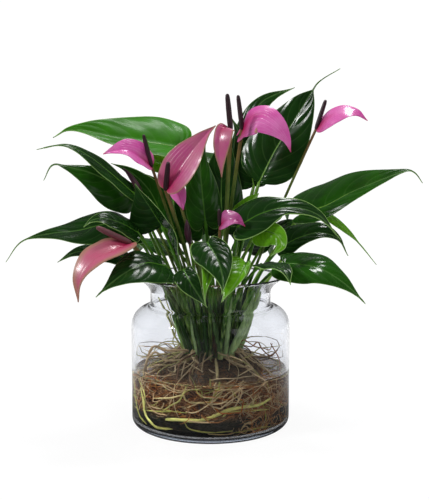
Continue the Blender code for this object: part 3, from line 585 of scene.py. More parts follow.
def sum_of(operation):
    """A sum of a wire and a number, or of two wires, as a Math node works it out."""
    return lambda wire, other: add(wire.socket.id_data, "Math", {0: wire, 1: other}, operation=operation)[0]


class Wire:
    """A number or colour on its way through a node tree. Sums with it add the nodes that work them out, and fold
    runs it to and fro between 0 and a number."""
    __add__, __sub__, __mul__, __pow__ = map(sum_of, ("ADD", "SUBTRACT", "MULTIPLY", "POWER"))
    __lt__, __gt__, larger, fold = map(sum_of, ("LESS_THAN", "GREATER_THAN", "MAXIMUM", "PINGPONG"))

    def __init__(self, socket):
        self.socket = socket

    def __rsub__(self, other):
        return add(self.socket.id_data, "Math", {0: other, 1: self}, operation="SUBTRACT")[0]

    def __abs__(self):
        return add(self.socket.id_data, "Math", {0: self}, operation="ABSOLUTE")[0]

    def ramp(self, low, high, start=0.0, end=1.0):
        return add(self.socket.id_data, "MapRange", {0: self, 1: low, 2: high, 3: start, 4: end},
                   interpolation_type="SMOOTHSTEP")[0]


def layers(colour, *coats):
    """A colour with other colours laid over it one after another, each by its share."""
    for share, over in coats:
        colour = add(share.socket.id_data, "Mix", {0: share, 6: colour, 7: over}, data_type="RGBA")[2]
    return colour


def axes(vector):
    return add(vector.socket.id_data, "SeparateXYZ", {0: vector})


def place(tree):
    return by_name(add(tree, "TexCoord"))["Object"]


def noise(where, scale, detail, distortion=0.0):
    return add(where.socket.id_data, "TexNoise", {"Vector": where, "Scale": scale, "Detail": detail,
                                                  "Distortion": distortion})[0]


def new_group(name, inputs, outputs):
    """A node group with the wires that come into it and the sockets that they leave by."""
    group = bpy.data.node_groups.new(name, "ShaderNodeTree")
    for label, default in inputs.items():
        group.interface.new_socket(label, in_out="INPUT", socket_type="NodeSocketFloat").default_value = default
    for label in outputs:
        group.interface.new_socket(label, in_out="OUTPUT", socket_type="NodeSocketFloat")
    given = group.nodes.new("NodeGroupInput").outputs
    return group, by_name(map(Wire, given)), group.nodes.new("NodeGroupOutput").inputs


def vein_group(name):
    """Side veins that leave the midrib and curve towards the tip, and the swelling between them."""
    group, given, out = new_group(name, {"Along": 0.5, "Across": 0.5, "Pairs": VEIN_PAIRS, "Lean": VEIN_LEAN},
                                  ("Line", "Swelling"))
    aside = abs(given["Across"] - 0.5) * 2.0
    gap = (given["Along"] * given["Pairs"] - aside ** VEIN_CURVE * given["Lean"]).fold(0.5)
    fade = aside.ramp(0.75, 1.0, 1.0, 0.25)
    feed(out["Line"], gap.ramp(0.0, 0.09, 1.0, 0.0) * fade)
    feed(out["Swelling"], (gap * 2.0) ** SWELL_POWER * fade)
    return group


def mottle_group(name):
    """Soft cloudy variation and a fine grain, in the object's own coordinates."""
    group, given, out = new_group(name, {"Scale": 40.0, "Grain": 900.0}, ("Cloud", "Grain"))
    feed(out["Cloud"], noise(place(group), given["Scale"], 3.0).ramp(0.3, 0.7))
    feed(out["Grain"], noise(place(group), given["Grain"], 2.0))
    return group


def streak_group(name):
    """Long upright streaks, in the object's own coordinates."""
    group, given, out = new_group(name, {"Scale": 300.0, "Squeeze": 0.1}, ("Streak",))
    squeeze = add(group, "CombineXYZ", {0: 1.0, 1: 1.0, 2: given["Squeeze"]})[0]
    where = add(group, "VectorMath", {0: place(group), 1: squeeze}, operation="MULTIPLY")[0]
    feed(out["Streak"], noise(where, given["Scale"], 1.0))
    return group


GROUPS = {"leaf veins": vein_group, "mottle": mottle_group, "streaks": streak_group}


class Skin:
    """A material in the making."""

    def __init__(self, tree):
        self.tree = tree
        self.shader = tree.nodes["Principled BSDF"]

    def stored(self, name):
        """A number that is stored for each point of the piece."""
        return by_name(add(self.tree, "Attribute", attribute_name=name))["Fac"]

    def uv(self):
        """How far across and along the piece a point is."""
        return axes(add(self.tree, "UVMap", uv_map="UVMap")[0])[:2]

    def group(self, name, **inputs):
        """Places a node group, which is built the first time that it is asked for."""
        used = self.tree.nodes.new("ShaderNodeGroup")
        used.node_tree = bpy.data.node_groups.get(name) or GROUPS[name](name)
        for key, value in inputs.items():
            feed(used.inputs[key], value)
        return [Wire(socket) for socket in used.outputs]

    def bump(self, height, strength, distance):
        return add(self.tree, "Bump", {"Strength": strength, "Distance": distance, "Height": height})[0]

    def shade(self, colour, roughness, **values):
        """Sets the shader's sockets, whose names are written with underscores."""
        for key, value in dict(Base_Color=colour, Roughness=roughness, **values).items():
            feed(self.shader.inputs[key.replace("_", " ")], value)

    def surface(self, share, second):
        """Mixes the shader with a second one by a share, as the material's surface."""
        mixed = add(self.tree, "MixShader", {0: share, 1: Wire(self.shader.outputs[0]), 2: second})[0]
        feed(self.tree.nodes["Material Output"].inputs["Surface"], mixed)


def veined(skin, rib_start, rib_end):
    """What both sides of a leaf share: its clouds, its side veins, the swelling between them and the midrib."""
    across, along = skin.uv()
    veins, swell = skin.group("leaf veins", Along=along, Across=across)
    cloud, _ = skin.group("mottle", Scale=34.0)
    return cloud, veins, swell, skin.stored("to_rib").ramp(rib_start, rib_end, 1.0, 0.0)


def leaf_top(skin, colour, shade, vein, edge, dull=0.0):
    """Glossy upper side of a leaf: clouded green, pale midrib and edge, and veins that it swells between."""
    cloud, veins, swell, rib = veined(skin, 0.35, 1.3)
    rim = skin.stored("to_edge").ramp(0.35, 1.1, 1.0, 0.0) * skin.stored("margin")
    green = layers(colour, (cloud, shade), (veins * 0.13, vein), (rib * 0.42, vein), (rim, edge))
    skin.shade(green, cloud.ramp(0.0, 1.0, 0.15 + dull, 0.27 + dull), Coat_Weight=0.05, Coat_Roughness=0.14,
               Normal=skin.bump(swell - rib * 0.6, 0.4, 0.0005), Specular_IOR_Level=0.22 - 0.75 * dull)


def leaf_under(skin, colour, shade, vein):
    """Paler, duller underside of a leaf, where the veins stand out."""
    cloud, veins, _, rib = veined(skin, 0.4, 1.4)
    raised = veins.larger(rib)
    skin.shade(layers(colour, (cloud, shade), (raised * 0.6, vein)), 0.5, Normal=skin.bump(raised, 0.5, 0.0005))


def plain_skin(skin, colour, shade, roughness, strength=0.25, coat=0.0):
    """A clouded, fine-grained plant skin."""
    cloud, grain = skin.group("mottle", Scale=60.0)
    skin.shade(layers(colour, (cloud, shade)), roughness, Normal=skin.bump(grain, strength, 0.0004), Coat_Weight=coat)


def stalk_skin(skin, foot, middle, top, bright):
    """A stalk that changes colour on its way up, and that is brighter on some than on others."""
    cloud, grain = skin.group("mottle", Scale=70.0)
    streak = skin.group("streaks", Scale=300.0, Squeeze=0.1)[0].ramp(0.5, 0.62)
    along = skin.stored("along")
    pale = tuple((first + second) / 2 for first, second in zip(bright, STALK_STREAK))
    tint = layers(STALK_BASE, (along.ramp(0.02, 0.12), foot), (along.ramp(0.25, 0.6), middle),
                  (along.ramp(0.72, 0.98), top), (cloud * 0.35, foot),
                  (skin.stored("tone") * along.ramp(0.45, 0.9, 1.0, 0.35), bright),
                  (streak * along.ramp(0.4, 0.8, 0.45, 0.0), pale))
    skin.shade(tint, 0.26, Normal=skin.bump(grain, 0.2, 0.0003), Specular_IOR_Level=0.3)


def sheath_skin(skin, maroon, green, pale):
    """Papery sheaths with fine lengthwise ribs, from maroon over green to pale green."""
    tone = skin.stored("tone")
    rib = skin.group("streaks", Scale=420.0, Squeeze=0.06)[0].ramp(0.4, 0.6)
    cloud, _ = skin.group("mottle", Scale=60.0)
    tint = layers(maroon, (tone.ramp(0.1, 0.35), green), (tone.ramp(0.35, 0.9), pale),
                  (rib * (0.6 - tone * 0.3), green), (cloud * 0.3, green))
    skin.shade(tint, 0.3, Normal=skin.bump(rib, 0.5, 0.0006), Specular_IOR_Level=0.25)


def spathe_skin(skin, colour, centre, streak, roughness=0.3, edge=None, reach=0.0):
    """Waxy coloured leaf of a flower: deep colour at the centre, fine lengthwise streaks and clouds of a second
    colour, which on fresh and young spathes is a painted lilac sheen, a darker tip and edge.
    """
    across, along = skin.uv()
    cloud, _ = skin.group("mottle", Scale=55.0)
    aside = abs(across - 0.5) * 2.0
    line = (aside * 5.0).fold(0.5).ramp(0.0, 0.16, 1.0, 0.0)
    # The streak colour is laid in clouds and along the lengthwise lines; on fresh and young spathes it is a painted
    # lilac sheen, on older ones their dusty pink.
    tint = layers(colour, (cloud * 0.5, streak), (line * 0.3, streak),
                  ((along + aside * 0.3).ramp(0.08, 0.62, 1.0, 0.0), centre),
                  (along.ramp(0.9, 1.0, 0.0, 0.7), centre))
    if edge:
        tint = layers(tint, (skin.stored("to_edge").ramp(0.5, reach, 0.75, 0.0), edge))
    skin.shade(tint, roughness, Normal=skin.bump(cloud * 0.8 - line, 0.35, 0.0005), Coat_Weight=0.3,
               Coat_Roughness=0.15)


def spike_skin(skin, colour, crest):
    """Spadix: small close-set flowers in rings, their crests paler as a painted highlight."""
    cloud, grain = skin.group("mottle", Scale=90.0)
    # Painted highlight: the crest colour lies on the raised tops of the small flowers.
    tint = layers(colour, (skin.stored("raised").ramp(0.35, 0.95), crest), (cloud * 0.4, colour))
    skin.shade(tint, 0.5, Normal=skin.bump(grain, 0.3, 0.0003))


def root_skin(skin, *tones):
    """Roots with a fine papery skin, from dark brown over rust, tan and olive to pale yellow-green."""
    cloud, grain = skin.group("mottle", Scale=120.0, Grain=1500.0)
    tone = skin.stored("tone")
    steps = ((tone.ramp(step * 0.25 + 0.02, step * 0.25 + 0.23), colour) for step, colour in enumerate(tones[1:]))
    # Above the water the roots turn greyer and darker: partly their drier skin, partly painted shade.
    dry_and_shaded = axes(place(skin.tree))[2].ramp(0.062, 0.074, 0.0, 0.35)
    skin.shade(layers(tones[0], *steps, (cloud * 0.3, tones[0]), (dry_and_shaded, DRY_AND_SHADED_ROOT)), 0.42,
               Normal=skin.bump(grain, 0.5, 0.0005), Specular_IOR_Level=0.22)


def mass_skin(skin, dark, deep, light, tan, slate):
    """Close tangle of fine roots: light strands over dark gaps of painted shade, painted shade that makes it darker
    and greyer near the floor, and a greyer, darker tint above the water, partly drier skin and partly painted shade.
    """
    where = place(skin.tree)
    ridges = []
    for scale, turn in ((70.0, 0.3), (130.0, 1.9), (55.0, -1.1)):
        lain = add(skin.tree, "Mapping", {"Vector": where, "Rotation": (0.4, turn, turn), "Scale": (1, 1, 2.6)})[0]
        ridges.append(abs(noise(lain, scale, 1.0, 1.2) - 0.5).ramp(0.0, 0.045, 1.0, 0.0))
    strand = ridges[0].larger(ridges[1]).larger(ridges[2])
    cloud, _ = skin.group("mottle", Scale=45.0)
    height = axes(where)[2]
    # The dark and deep colours are root colours darkened: painted shade in the gaps between the strands.
    tint = layers(layers(dark, (cloud, deep)), (strand, layers(light, (cloud, tan))),
                  # Painted shade: the bottom colour darkens and greys the tangle below about 30 mm.
                  (height.ramp(0.022, 0.034, 0.88, 0.0), slate), (height.ramp(0.060, 0.068, 0.0, 0.7), DRY_AND_SHADED_MASS))
    skin.shade(tint, 0.6, Normal=skin.bump(strand, 1.0, 0.0015), Specular_IOR_Level=0.15)


def clear(skin, colour, ior, haze, density):
    """Clear glass or water that lets light through to what is behind and in it."""
    skin.shade(colour, 0.0, IOR=ior, Transmission_Weight=1.0)
    shadow = by_name(add(skin.tree, "LightPath"))["Is Shadow Ray"]
    skin.surface(shadow, add(skin.tree, "BsdfTransparent", {0: colour})[0])
    volume = add(skin.tree, "VolumeAbsorption", {"Color": haze, "Density": density})[0]
    feed(skin.tree.nodes["Material Output"].inputs["Volume"], volume)


def studio_rays(tree, backwards):
    """Sorts the rays of a white studio: seen by the eye, seen through glass, seen in a mirroring, and how much of
    what a mirroring sees is the white backdrop, which is bright behind the plant and dark on the eye's side."""
    path = by_name(add(tree, "LightPath"))
    clean = path["Diffuse Depth"] < 0.5
    mirrored = (path["Glossy Depth"] > 0.5) * clean
    return path, path["Is Transmission Ray"] * clean, mirrored, backwards.ramp(-0.05, 0.35)


def plain_floor(skin, colour, dim):
    """Pale floor that fades to plain white away from the vase, and that is dim in most mirrorings."""
    where = place(skin.tree)
    path, through, mirrored, backdrop = studio_rays(skin.tree, axes(where)[1])
    dark = mirrored * (1.0 - (path["Transmission Depth"] < 0.5) * backdrop)
    skin.shade(layers(colour, (dark, dim)), 0.9, Specular_IOR_Level=0.1)
    away = by_name(add(skin.tree, "VectorMath", {0: where}, operation="LENGTH"))["Value"]
    seen = path["Is Camera Ray"].larger(through * (1.0 - mirrored * (1.0 - backdrop)))
    glow = add(skin.tree, "Emission", {0: (1.0, 1.0, 1.0), 1: 1.04})[0]
    skin.surface(away.ramp(0.11, 0.75, 0.88, 1.0) * seen, glow)


# A finish: what makes it, and the panel's colours for it (a name, or a name with the share that darkens it).
FINISHES = {
    "leaf dark": (leaf_top, "leaf_dark", ("leaf_dark", 0.6), "leaf_vein", "leaf_edge"),
    "leaf green": (leaf_top, "leaf_green", ("leaf_green", 0.6), "leaf_vein", "leaf_edge"),
    "leaf fresh": (leaf_top, "leaf_fresh", ("leaf_fresh", 0.7), "leaf_vein", "leaf_edge", 0.2),
    "leaf bright": (leaf_top, "leaf_bright", ("leaf_bright", 0.75), "leaf_edge", "leaf_edge"),
    "leaf underside": (leaf_under, "leaf_under", ("leaf_under", 0.75), "leaf_vein"),
    "leaf rim": (plain_skin, "leaf_edge", ("leaf_edge", 0.8), 0.4),
    "leaf stalk": (stalk_skin, "stalk_foot", "stalk_green", "stalk_green", "stalk_bright"),
    "flower stalk": (stalk_skin, "stalk_foot", "stalk_olive", "stalk_top", "stalk_olive"),
    # Fresh and young spathes take a painted lilac sheen as their streak colour.
    "spathe fresh": (spathe_skin, "spathe_fresh", "spathe_centre", "spathe_lilac"),
    "spathe aged": (spathe_skin, "spathe_aged", "spathe_centre", "spathe_dusk", 0.4, "spathe_back", 9.0),
    "spathe old": (spathe_skin, "spathe_old", "spathe_centre", "spathe_dusk", 0.34, "spathe_back", 2.5),
    "spathe young": (spathe_skin, "spathe_young", "spathe_centre", "spathe_lilac"),
    "spathe back": (plain_skin, "spathe_dusk", "spathe_back", 0.42),
    "spadix purple": (spike_skin, "spadix", "spadix_crest"),
    # The rosy spadix's hollows are its colour darkened: painted shade under the painted highlight on its crests.
    "spadix rose": (spike_skin, ("spadix_rose", 0.45), "spadix_rose"),
    "rolled flower": (plain_skin, "bud", ("bud", 0.5), 0.3, 0.25, 0.3),
    "root fine": (root_skin, "root_dark", "root_rust", "root_tan", "root_olive", "root_pale"),
    # Root mass: darkened root colours as painted shade in its gaps, and a painted shade colour at its bottom.
    "root mass": (mass_skin, ("root_dark", 0.3), ("root_rust", 0.35), "root_rust", ("root_tan", 0.6), "root_slate"),
    "sheath": (sheath_skin, "sheath_maroon", "stalk_foot", "sheath_pale"),
    "woody crown": (plain_skin, "root_dark", "stalk_foot", 0.6, 0.6),
    "clear glass": (clear, "glass", 1.45, "glass_edge", 9.0),
    "still water": (clear, "water", 1.333, "water_haze", 9.0),
    "pale floor": (plain_floor, "floor", ("floor", 0.15)),
}


def panel_colour(given):
    """The panel's colour for a name, or for a name with the share that darkens it. A number stays a number."""
    if isinstance(given, float):
        return given
    name, share = (given, 1.0) if isinstance(given, str) else given
    return tuple(channel * share for channel in getattr(bpy.context.scene.anthurium_colours, name))


def material(name):
    """The named finish, made the first time that it is asked for."""
    made = bpy.data.materials.get(name)
    if not made:
        made = bpy.data.materials.new(name)
        made.use_nodes = True
        maker, *given = FINISHES[name]
        maker(Skin(made.node_tree), *map(panel_colour, given))
    return made


def rgb(label, *colour):
    return FloatVectorProperty(name=label, description=label + " colour", subtype="COLOR", size=3, min=0, max=1,
                               default=colour)


def length(label, about, default, low, high):
    return FloatProperty(name=label, description=about, unit="LENGTH", subtype="DISTANCE", default=default, min=low,
                         max=high)


class AnthuriumColours(bpy.types.PropertyGroup):
    """Colours of the plant, the vase and the floor."""
    leaf_dark: rgb("Dark leaf", 0.01, 0.045, 0.006)
    leaf_green: rgb("Green leaf", 0.018, 0.09, 0.006)
    leaf_fresh: rgb("Fresh leaf", 0.036, 0.19, 0.006)
    leaf_bright: rgb("Young leaf", 0.12, 0.36, 0.008)
    leaf_under: rgb("Leaf underside", 0.05, 0.13, 0.03)
    leaf_vein: rgb("Leaf vein", 0.11, 0.23, 0.06)
    leaf_edge: rgb("Leaf edge", 0.26, 0.44, 0.12)
    stalk_foot: rgb("Stalk foot", 0.012, 0.055, 0.004)
    stalk_green: rgb("Leaf stalk", 0.056, 0.19, 0.01)
    stalk_bright: rgb("Bright stalk", 0.32, 0.56, 0.08)
    stalk_olive: rgb("Flower stalk", 0.12, 0.18, 0.03)
    stalk_top: rgb("Flower stalk's top", 0.19, 0.1, 0.04)
    spathe_fresh: rgb("Fresh spathe", 0.62, 0.07, 0.35)
    # Painted sheen: a lilac sheen laid into the colour of fresh and young spathes.
    spathe_lilac: rgb("Lilac sheen", 0.76, 0.27, 0.56)
    spathe_old: rgb("Older spathe", 0.48, 0.06, 0.22)
    spathe_dusk: rgb("Dusty pink", 0.46, 0.16, 0.2)
    spathe_aged: rgb("Ageing spathe", 0.52, 0.09, 0.18)
    spathe_young: rgb("Young spathe", 0.33, 0.02, 0.16)
    spathe_centre: rgb("Crimson centre", 0.45, 0.004, 0.07)
    spathe_back: rgb("Spathe's back", 0.33, 0.2, 0.1)
    spadix: rgb("Spadix", 0.022, 0.005, 0.01)
    # Painted highlight on the crests of the spadix's small flowers.
    spadix_crest: rgb("Spadix crests", 0.08, 0.02, 0.035)
    spadix_rose: rgb("Rosy spadix", 0.29, 0.09, 0.11)
    bud: rgb("Rolled flower", 0.055, 0.012, 0.028)
    root_dark: rgb("Dark root", 0.05, 0.026, 0.012)
    root_rust: rgb("Rusty root", 0.48, 0.15, 0.022)
    root_tan: rgb("Tan root", 0.72, 0.52, 0.27)
    root_olive: rgb("Olive root", 0.46, 0.47, 0.09)
    root_pale: rgb("Pale root", 0.86, 0.84, 0.24)
    # Painted shade at the bottom of the root tangle.
    root_slate: rgb("Dark bottom", 0.024, 0.034, 0.024)
    sheath_maroon: rgb("Maroon sheath", 0.045, 0.014, 0.01)
    sheath_pale: rgb("Pale sheath", 0.44, 0.64, 0.26)
    glass: rgb("Glass", 0.94, 0.952, 0.98)
    glass_edge: rgb("Glass in depth", 0.62, 0.68, 0.76)
    water: rgb("Water", 0.985, 0.985, 0.97)
    water_haze: rgb("Water in depth", 0.56, 0.44, 0.26)
    floor: rgb("Floor", 0.88, 0.88, 0.89)


class AnthuriumSizes(bpy.types.PropertyGroup):
    """Sizes that a user would change."""
    glass_wall: length("Glass wall", "Thickness of the vase's wall", 0.003, 0.001, 0.006)
    water_level: length("Water level", "Height of the water's surface", 0.066, 0.03, 0.11)
    blade_thickness: length("Blade thickness", "Thickness of a leaf blade", 0.0006, 0.0002, 0.0015)
    fine_roots: IntProperty(name="Fine roots", description="How many fine roots fill the vase", default=660, min=50,
                            max=800)


# ---------------------------------------------------------------------------------------------- operators
class ANTHURIUM_OT_stage(bpy.types.Operator):
    """Sets the plain pale floor, the soft studio lights and the camera"""
    bl_idname = "anthurium.stage"
    bl_label = "Stage"

    def execute(self, context):
        scene = context.scene
        nothing_selected()
        bpy.ops.mesh.primitive_circle_add(vertices=96, radius=6.0, fill_type="NGON")
        floor = coated(named("studio_floor"), "pale floor")
        for name, place, size, power in LAMPS:
            light = bpy.data.lights.new(name, "AREA")
            light.shape, light.size, light.energy = "SQUARE", size, power
            lamp = linked(name, light)
            lamp.location = place
            lamp.visible_transmission = False
            lamp.visible_glossy = name != "back"
            away = np.array(place) - np.array((0, 0, LIT_HEIGHT))
            lamp.rotation_euler = (math.atan2(math.hypot(away[0], away[1]), away[2]), 0,
                                   math.atan2(away[0], -away[1]))
        scene.world = bpy.data.worlds.new("studio")
        scene.world.use_nodes = True
        sky = scene.world.node_tree
        heading = axes(by_name(add(sky, "TexCoord"))["Generated"])[1]
        path, through, mirrored, backdrop = studio_rays(sky, heading)
        plain = path["Is Camera Ray"] * 0.8 + (through * 0.72 + 0.24)
        reflected = backdrop * (through * 0.65 + 0.12) + 0.05
        feed(sky.nodes["Background"].inputs["Strength"], add(sky, "Mix", {0: mirrored, 2: plain, 3: reflected})[0])
        feed(sky.nodes["Background"].inputs["Color"], (1.0, 1.0, 1.0))
        camera = bpy.data.cameras.new("camera")
        camera.lens, camera.sensor_width = CAMERA_LENS, 36.0
        camera.clip_start, camera.clip_end = 0.01, 40.0
        scene.camera = linked("camera", camera)
        scene.camera.location = CAMERA_PLACE
        scene.camera.rotation_euler = (math.radians(90 - CAMERA_DIP), 0, 0)
        scene.view_settings.view_transform = "Standard"
        return {"FINISHED"}


class ANTHURIUM_OT_vase(bpy.types.Operator):
    """Turns the clear glass vase with its rounded shoulder and flared lip"""
    bl_idname = "anthurium.vase"
    bl_label = "Vase"

    def execute(self, context):
        wall = context.scene.anthurium_sizes.glass_wall / MM
        inside, neck = BODY_RADIUS - wall, NECK_RADIUS - wall
        flare_top = VASE_HEIGHT - LIP_ROUND

        def flare(narrow, wide):
            return [(narrow + (wide - narrow) * s ** 1.9, NECK_END + (flare_top - NECK_END) * s)
                    for s in np.linspace(0, 1, 13)]
        lip = arc((RIM_RADIUS - wall / 2, flare_top), (wall / 2, LIP_ROUND), 165, 15, 5)
        inner = ([(0.0, GLASS_FLOOR + 1.2), (30.0, GLASS_FLOOR + 0.9), (60.0, GLASS_FLOOR + 0.2)]
                 + arc((inside - INNER_CORNER, GLASS_FLOOR + INNER_CORNER), (INNER_CORNER, INNER_CORNER), -90, 0, 8)
                 + [(inside, z) for z in WALL_RINGS]
                 + arc((neck, SHOULDER_START - 1), (inside - neck, SHOULDER_END - SHOULDER_START - 2), 0, 82, 12)
                 + [(neck + 0.4, SHOULDER_END - 1.6), (neck, SHOULDER_END + 1.5)])
        outer = ([(NECK_RADIUS, SHOULDER_END + 3.2), (NECK_RADIUS + 0.6, SHOULDER_END + 0.8)]
                 + arc((NECK_RADIUS, SHOULDER_START), (BODY_RADIUS - NECK_RADIUS, SHOULDER_END - SHOULDER_START),
                       80, 0, 12)
                 + [(BODY_RADIUS, z) for z in WALL_RINGS[::-1]]
                 + arc((BODY_RADIUS - BASE_CORNER, BASE_CORNER), (BASE_CORNER, BASE_CORNER), 0, -90, 8)
                 + [(70.0, 0.0), (40.0, 0.6), (0.0, 0.8)])
        profile = inner + flare(neck, RIM_RADIUS - wall) + lip + flare(NECK_RADIUS, RIM_RADIUS)[::-1] + outer
        keep(turned("glass_vase", profile, "clear glass"), "glass", 60, "vase")
        return {"FINISHED"}


class ANTHURIUM_OT_water(bpy.types.Operator):
    """Fills the vase with water that climbs a little up the glass"""
    bl_idname = "anthurium.water"
    bl_label = "Water"

    def execute(self, context):
        sizes = context.scene.anthurium_sizes
        level = sizes.water_level / MM
        inside = BODY_RADIUS - sizes.glass_wall / MM + WATER_OVERLAP
        top = [(0.0, level), (60.0, level), (84.0, level), (88.0, level + 0.2), (90.0, level + 0.7),
               (91.3, level + 1.5), (inside, level + 2.6)]
        bottom = arc((inside - INNER_CORNER, GLASS_FLOOR + INNER_CORNER - WATER_OVERLAP),
                     (INNER_CORNER, INNER_CORNER), 0, -90, 8)
        bottom += [(60.0, GLASS_FLOOR + 0.05), (30.0, GLASS_FLOOR + 0.75), (0.0, GLASS_FLOOR + 1.05)]
        keep(turned("water_in_vase", top + bottom, "still water"), "water", 60, "water")
        return {"FINISHED"}


class ANTHURIUM_OT_crown(bpy.types.Operator):
    """Makes the crown, a cluster of short knobbly stems, with the sheaths around the stalks' feet"""
    bl_idname = "anthurium.crown"
    bl_label = "Crown"

    def execute(self, context):
        rng = np.random.default_rng(5)
        share = np.linspace(0, 1, 14)[:, None]
        paths, radii = [], []
        for index in range(CROWN_STEMS):
            foot = growing_place(index * 1.75)
            lean = np.array([foot[0], foot[1], 0]) * 0.12
            rise = np.array([0, 0, rng.uniform(26, 40)])
            paths.append(np.array([foot[0], foot[1], 68.0]) - lean + share * (rise + lean * 2))
            knots = 1 + 0.10 * np.sin(share[:, 0] * 22 + index)
            radii.append(rng.uniform(4.2, 6.0) * knots * (1 - 0.45 * share[:, 0] ** 2))
        keep(coated(rods("crown_stems", paths, radii, 3), "woody crown"), "crown", 80, "crown")
        taper = np.interp(np.linspace(0, 1, 24), (0, 0.15, 0.6, 0.85, 1), (0.75, 1, 0.85, 0.5, 0.12))
        sheaths = rod_bundle("stalk_sheaths", [(smooth_line(knots, 24), widest * taper, tone)
                                               for knots, widest, tone in SHEATHS], "sheath", 4)
        keep(sheaths, "crown", 80, "crown")
        return {"FINISHED"}


def wandering_root(rng, start, heading, length, step, curl, sink, lowest, highest=94.0):
    """A root's path: it wanders, sinks, and runs along the glass where it meets it."""
    point, heading = np.array(start, float), unit(heading)
    drift = rng.normal(0, 1, 3)
    path = [point.copy()]
    for _ in range(int(length / step)):
        drift = drift * 0.8 + rng.normal(0, 1, 3) * 0.6
        heading = unit(heading + drift * curl + np.array([0, 0, -sink]))
        ahead = point + heading * step
        radius = math.hypot(ahead[0], ahead[1])
        limit = BODY_RADIUS - 6 - max(0.0, 16.0 - ahead[2]) * 0.45
        if radius > limit:
            ahead[:2] *= limit / radius
        ahead[2] = min(max(ahead[2], lowest), highest)
        heading = unit(ahead - point + heading * 0.4 * step)
        point = ahead
        path.append(point.copy())
    return np.array(path)


def fine_root(rng, kind):
    """Path, radii and tone of one fine root of the tangle."""
    def upright(low, high):
        return np.array([0, 0, rng.uniform(low, high)])

    def outwards(low, high):
        angle = rng.uniform(low, high)
        return np.array([math.cos(angle), math.sin(angle), 0.0])
    outward = outwards(0, 2 * math.pi)
    aside = np.array([-outward[1], outward[0], 0.0]) * rng.choice((-1, 1))
    lowest = rng.choice((9.0, 26.0, 30.0, 36.0))
    if kind < 4:        # over the water, from the crown out to the glass and down
        start = outward * rng.uniform(20, 38) + upright(70, 98)
        heading = outward + aside * rng.uniform(0, 0.8) + upright(-0.75, 0.0)
        path = wandering_root(rng, start, heading, rng.uniform(40, 110), 4.5, 0.12, 0.07, lowest)
        thick, tone = rng.uniform(0.6, 1.25), rng.choice((0.02, 0.1, 0.47, 0.5, 0.55, 0.66))
    elif kind < 7:      # round and round in the water
        start = outward * rng.uniform(40, 78) + upright(34, 66)
        heading = aside + outward * 0.4 + upright(-0.4, 0.2)
        path = wandering_root(rng, start, heading, rng.uniform(50, 130), 5.0, 0.22, 0.03, lowest, 63.0)
        thick, tone = rng.uniform(0.6, 1.2), rng.choice((0.15, 0.25, 0.32, 0.42, 0.47, 0.55, 0.75))
    elif kind < 8:      # straight down into the water
        start = outward * rng.uniform(40, 84) + upright(60, 74)
        heading = outward * 0.5 + np.array([0, 0, -1])
        path = wandering_root(rng, start, heading, rng.uniform(30, 70), 4.5, 0.3, 0.02, lowest)
        thick, tone = rng.uniform(0.5, 0.9), rng.choice((0.2, 0.5, 0.8))
    else:               # fine and curly, at one side near the glass
        start = outwards(-1.15, -0.2) * rng.uniform(74, 87) + upright(14, 48)
        path = wandering_root(rng, start, rng.normal(0, 1, 3), rng.uniform(30, 70), 3.2, 0.75, 0.0, 9.0, 58.0)
        thick, tone = rng.uniform(0.35, 0.6), rng.uniform(0.3, 0.5)
    return path, thick * (np.linspace(1, 0, len(path)) ** 0.5 * 0.85 + 0.15), tone


def root_mass():
    """The dense middle of the tangle."""
    nothing_selected()
    bpy.ops.mesh.primitive_uv_sphere_add(segments=160, ring_count=80, radius=1)
    thing = named("root_mass")
    for vertex in thing.data.vertices:
        x, y, z = vertex.co
        wide, tall = (float(np.interp(z, MASS_LEVELS, column)) for column in (MASS_RADII, MASS_HEIGHTS))
        around = unit((x, y, 0)) if x or y else np.zeros(3)
        lump = fractal(Vector((around[0] * 3.2, around[1] * 3.2, tall * 0.055)), 0.7, 2.1, 5)
        wide = wide * (1 + 0.07 * lump)
        vertex.co = (around[0] * wide * MM, around[1] * wide * MM, (tall + 5 * lump * (tall > 15)) * MM)
    return coated(thing, "root mass")


class ANTHURIUM_OT_roots(bpy.types.Operator):
    """Grows the tangle of fine brown roots and the few thick pale ones"""
    bl_idname = "anthurium.roots"
    bl_label = "Roots"

    def execute(self, context):
        rng = np.random.default_rng(11)
        share = np.linspace(0, 1, 40)
        swell = 0.35 + 0.65 * np.sin(math.pi * np.clip(share, 0.04, 0.97)) ** 0.5
        fine = [fine_root(rng, index % 10) for index in range(context.scene.anthurium_sizes.fine_roots)]
        single = [(smooth_line(knots, 40), thick * swell * (1 + 0.08 * np.sin(share * 40 + thick * 9)), tone)
                  for knots, thick, tone in SINGLE_ROOTS]
        for piece in (rod_bundle("fine_roots", fine, "root fine", 1),
                      rod_bundle("single_roots", single, "root fine", 3), root_mass()):
            keep(piece, "roots", 80, "roots")
        return {"FINISHED"}


def leaf_stalk(number, midrib, normals):
    """A stalk with a wide foot and a swollen knee under the blade, going on under it as the raised midrib."""
    line = stalk_line(number, midrib[0], 26)
    share = np.linspace(0, 1, len(line))
    radii = STALK_TOP + (STALK_FOOT - STALK_TOP) * np.clip(1 - share / 0.75, 0, 1) ** 1.2
    radii = radii * (1 + 0.3 * np.exp(-((share - 0.95) / 0.035) ** 2))
    under = slice(2, int(len(midrib) * 0.8), 4)
    ridge = midrib[under] - normals[under] * 0.7
    radii = np.concatenate([radii, STALK_TOP * np.linspace(0.75, 0.18, len(ridge))])
    stalk = marked_rod(np.vstack([line, ridge]), radii, 3, "leaf stalk", np.vstack([line, ridge[:1]]))
    point_values(stalk, "tone", np.full(len(stalk.data.vertices), (number * 0.618 % 1) ** 1.8))
    return stalk


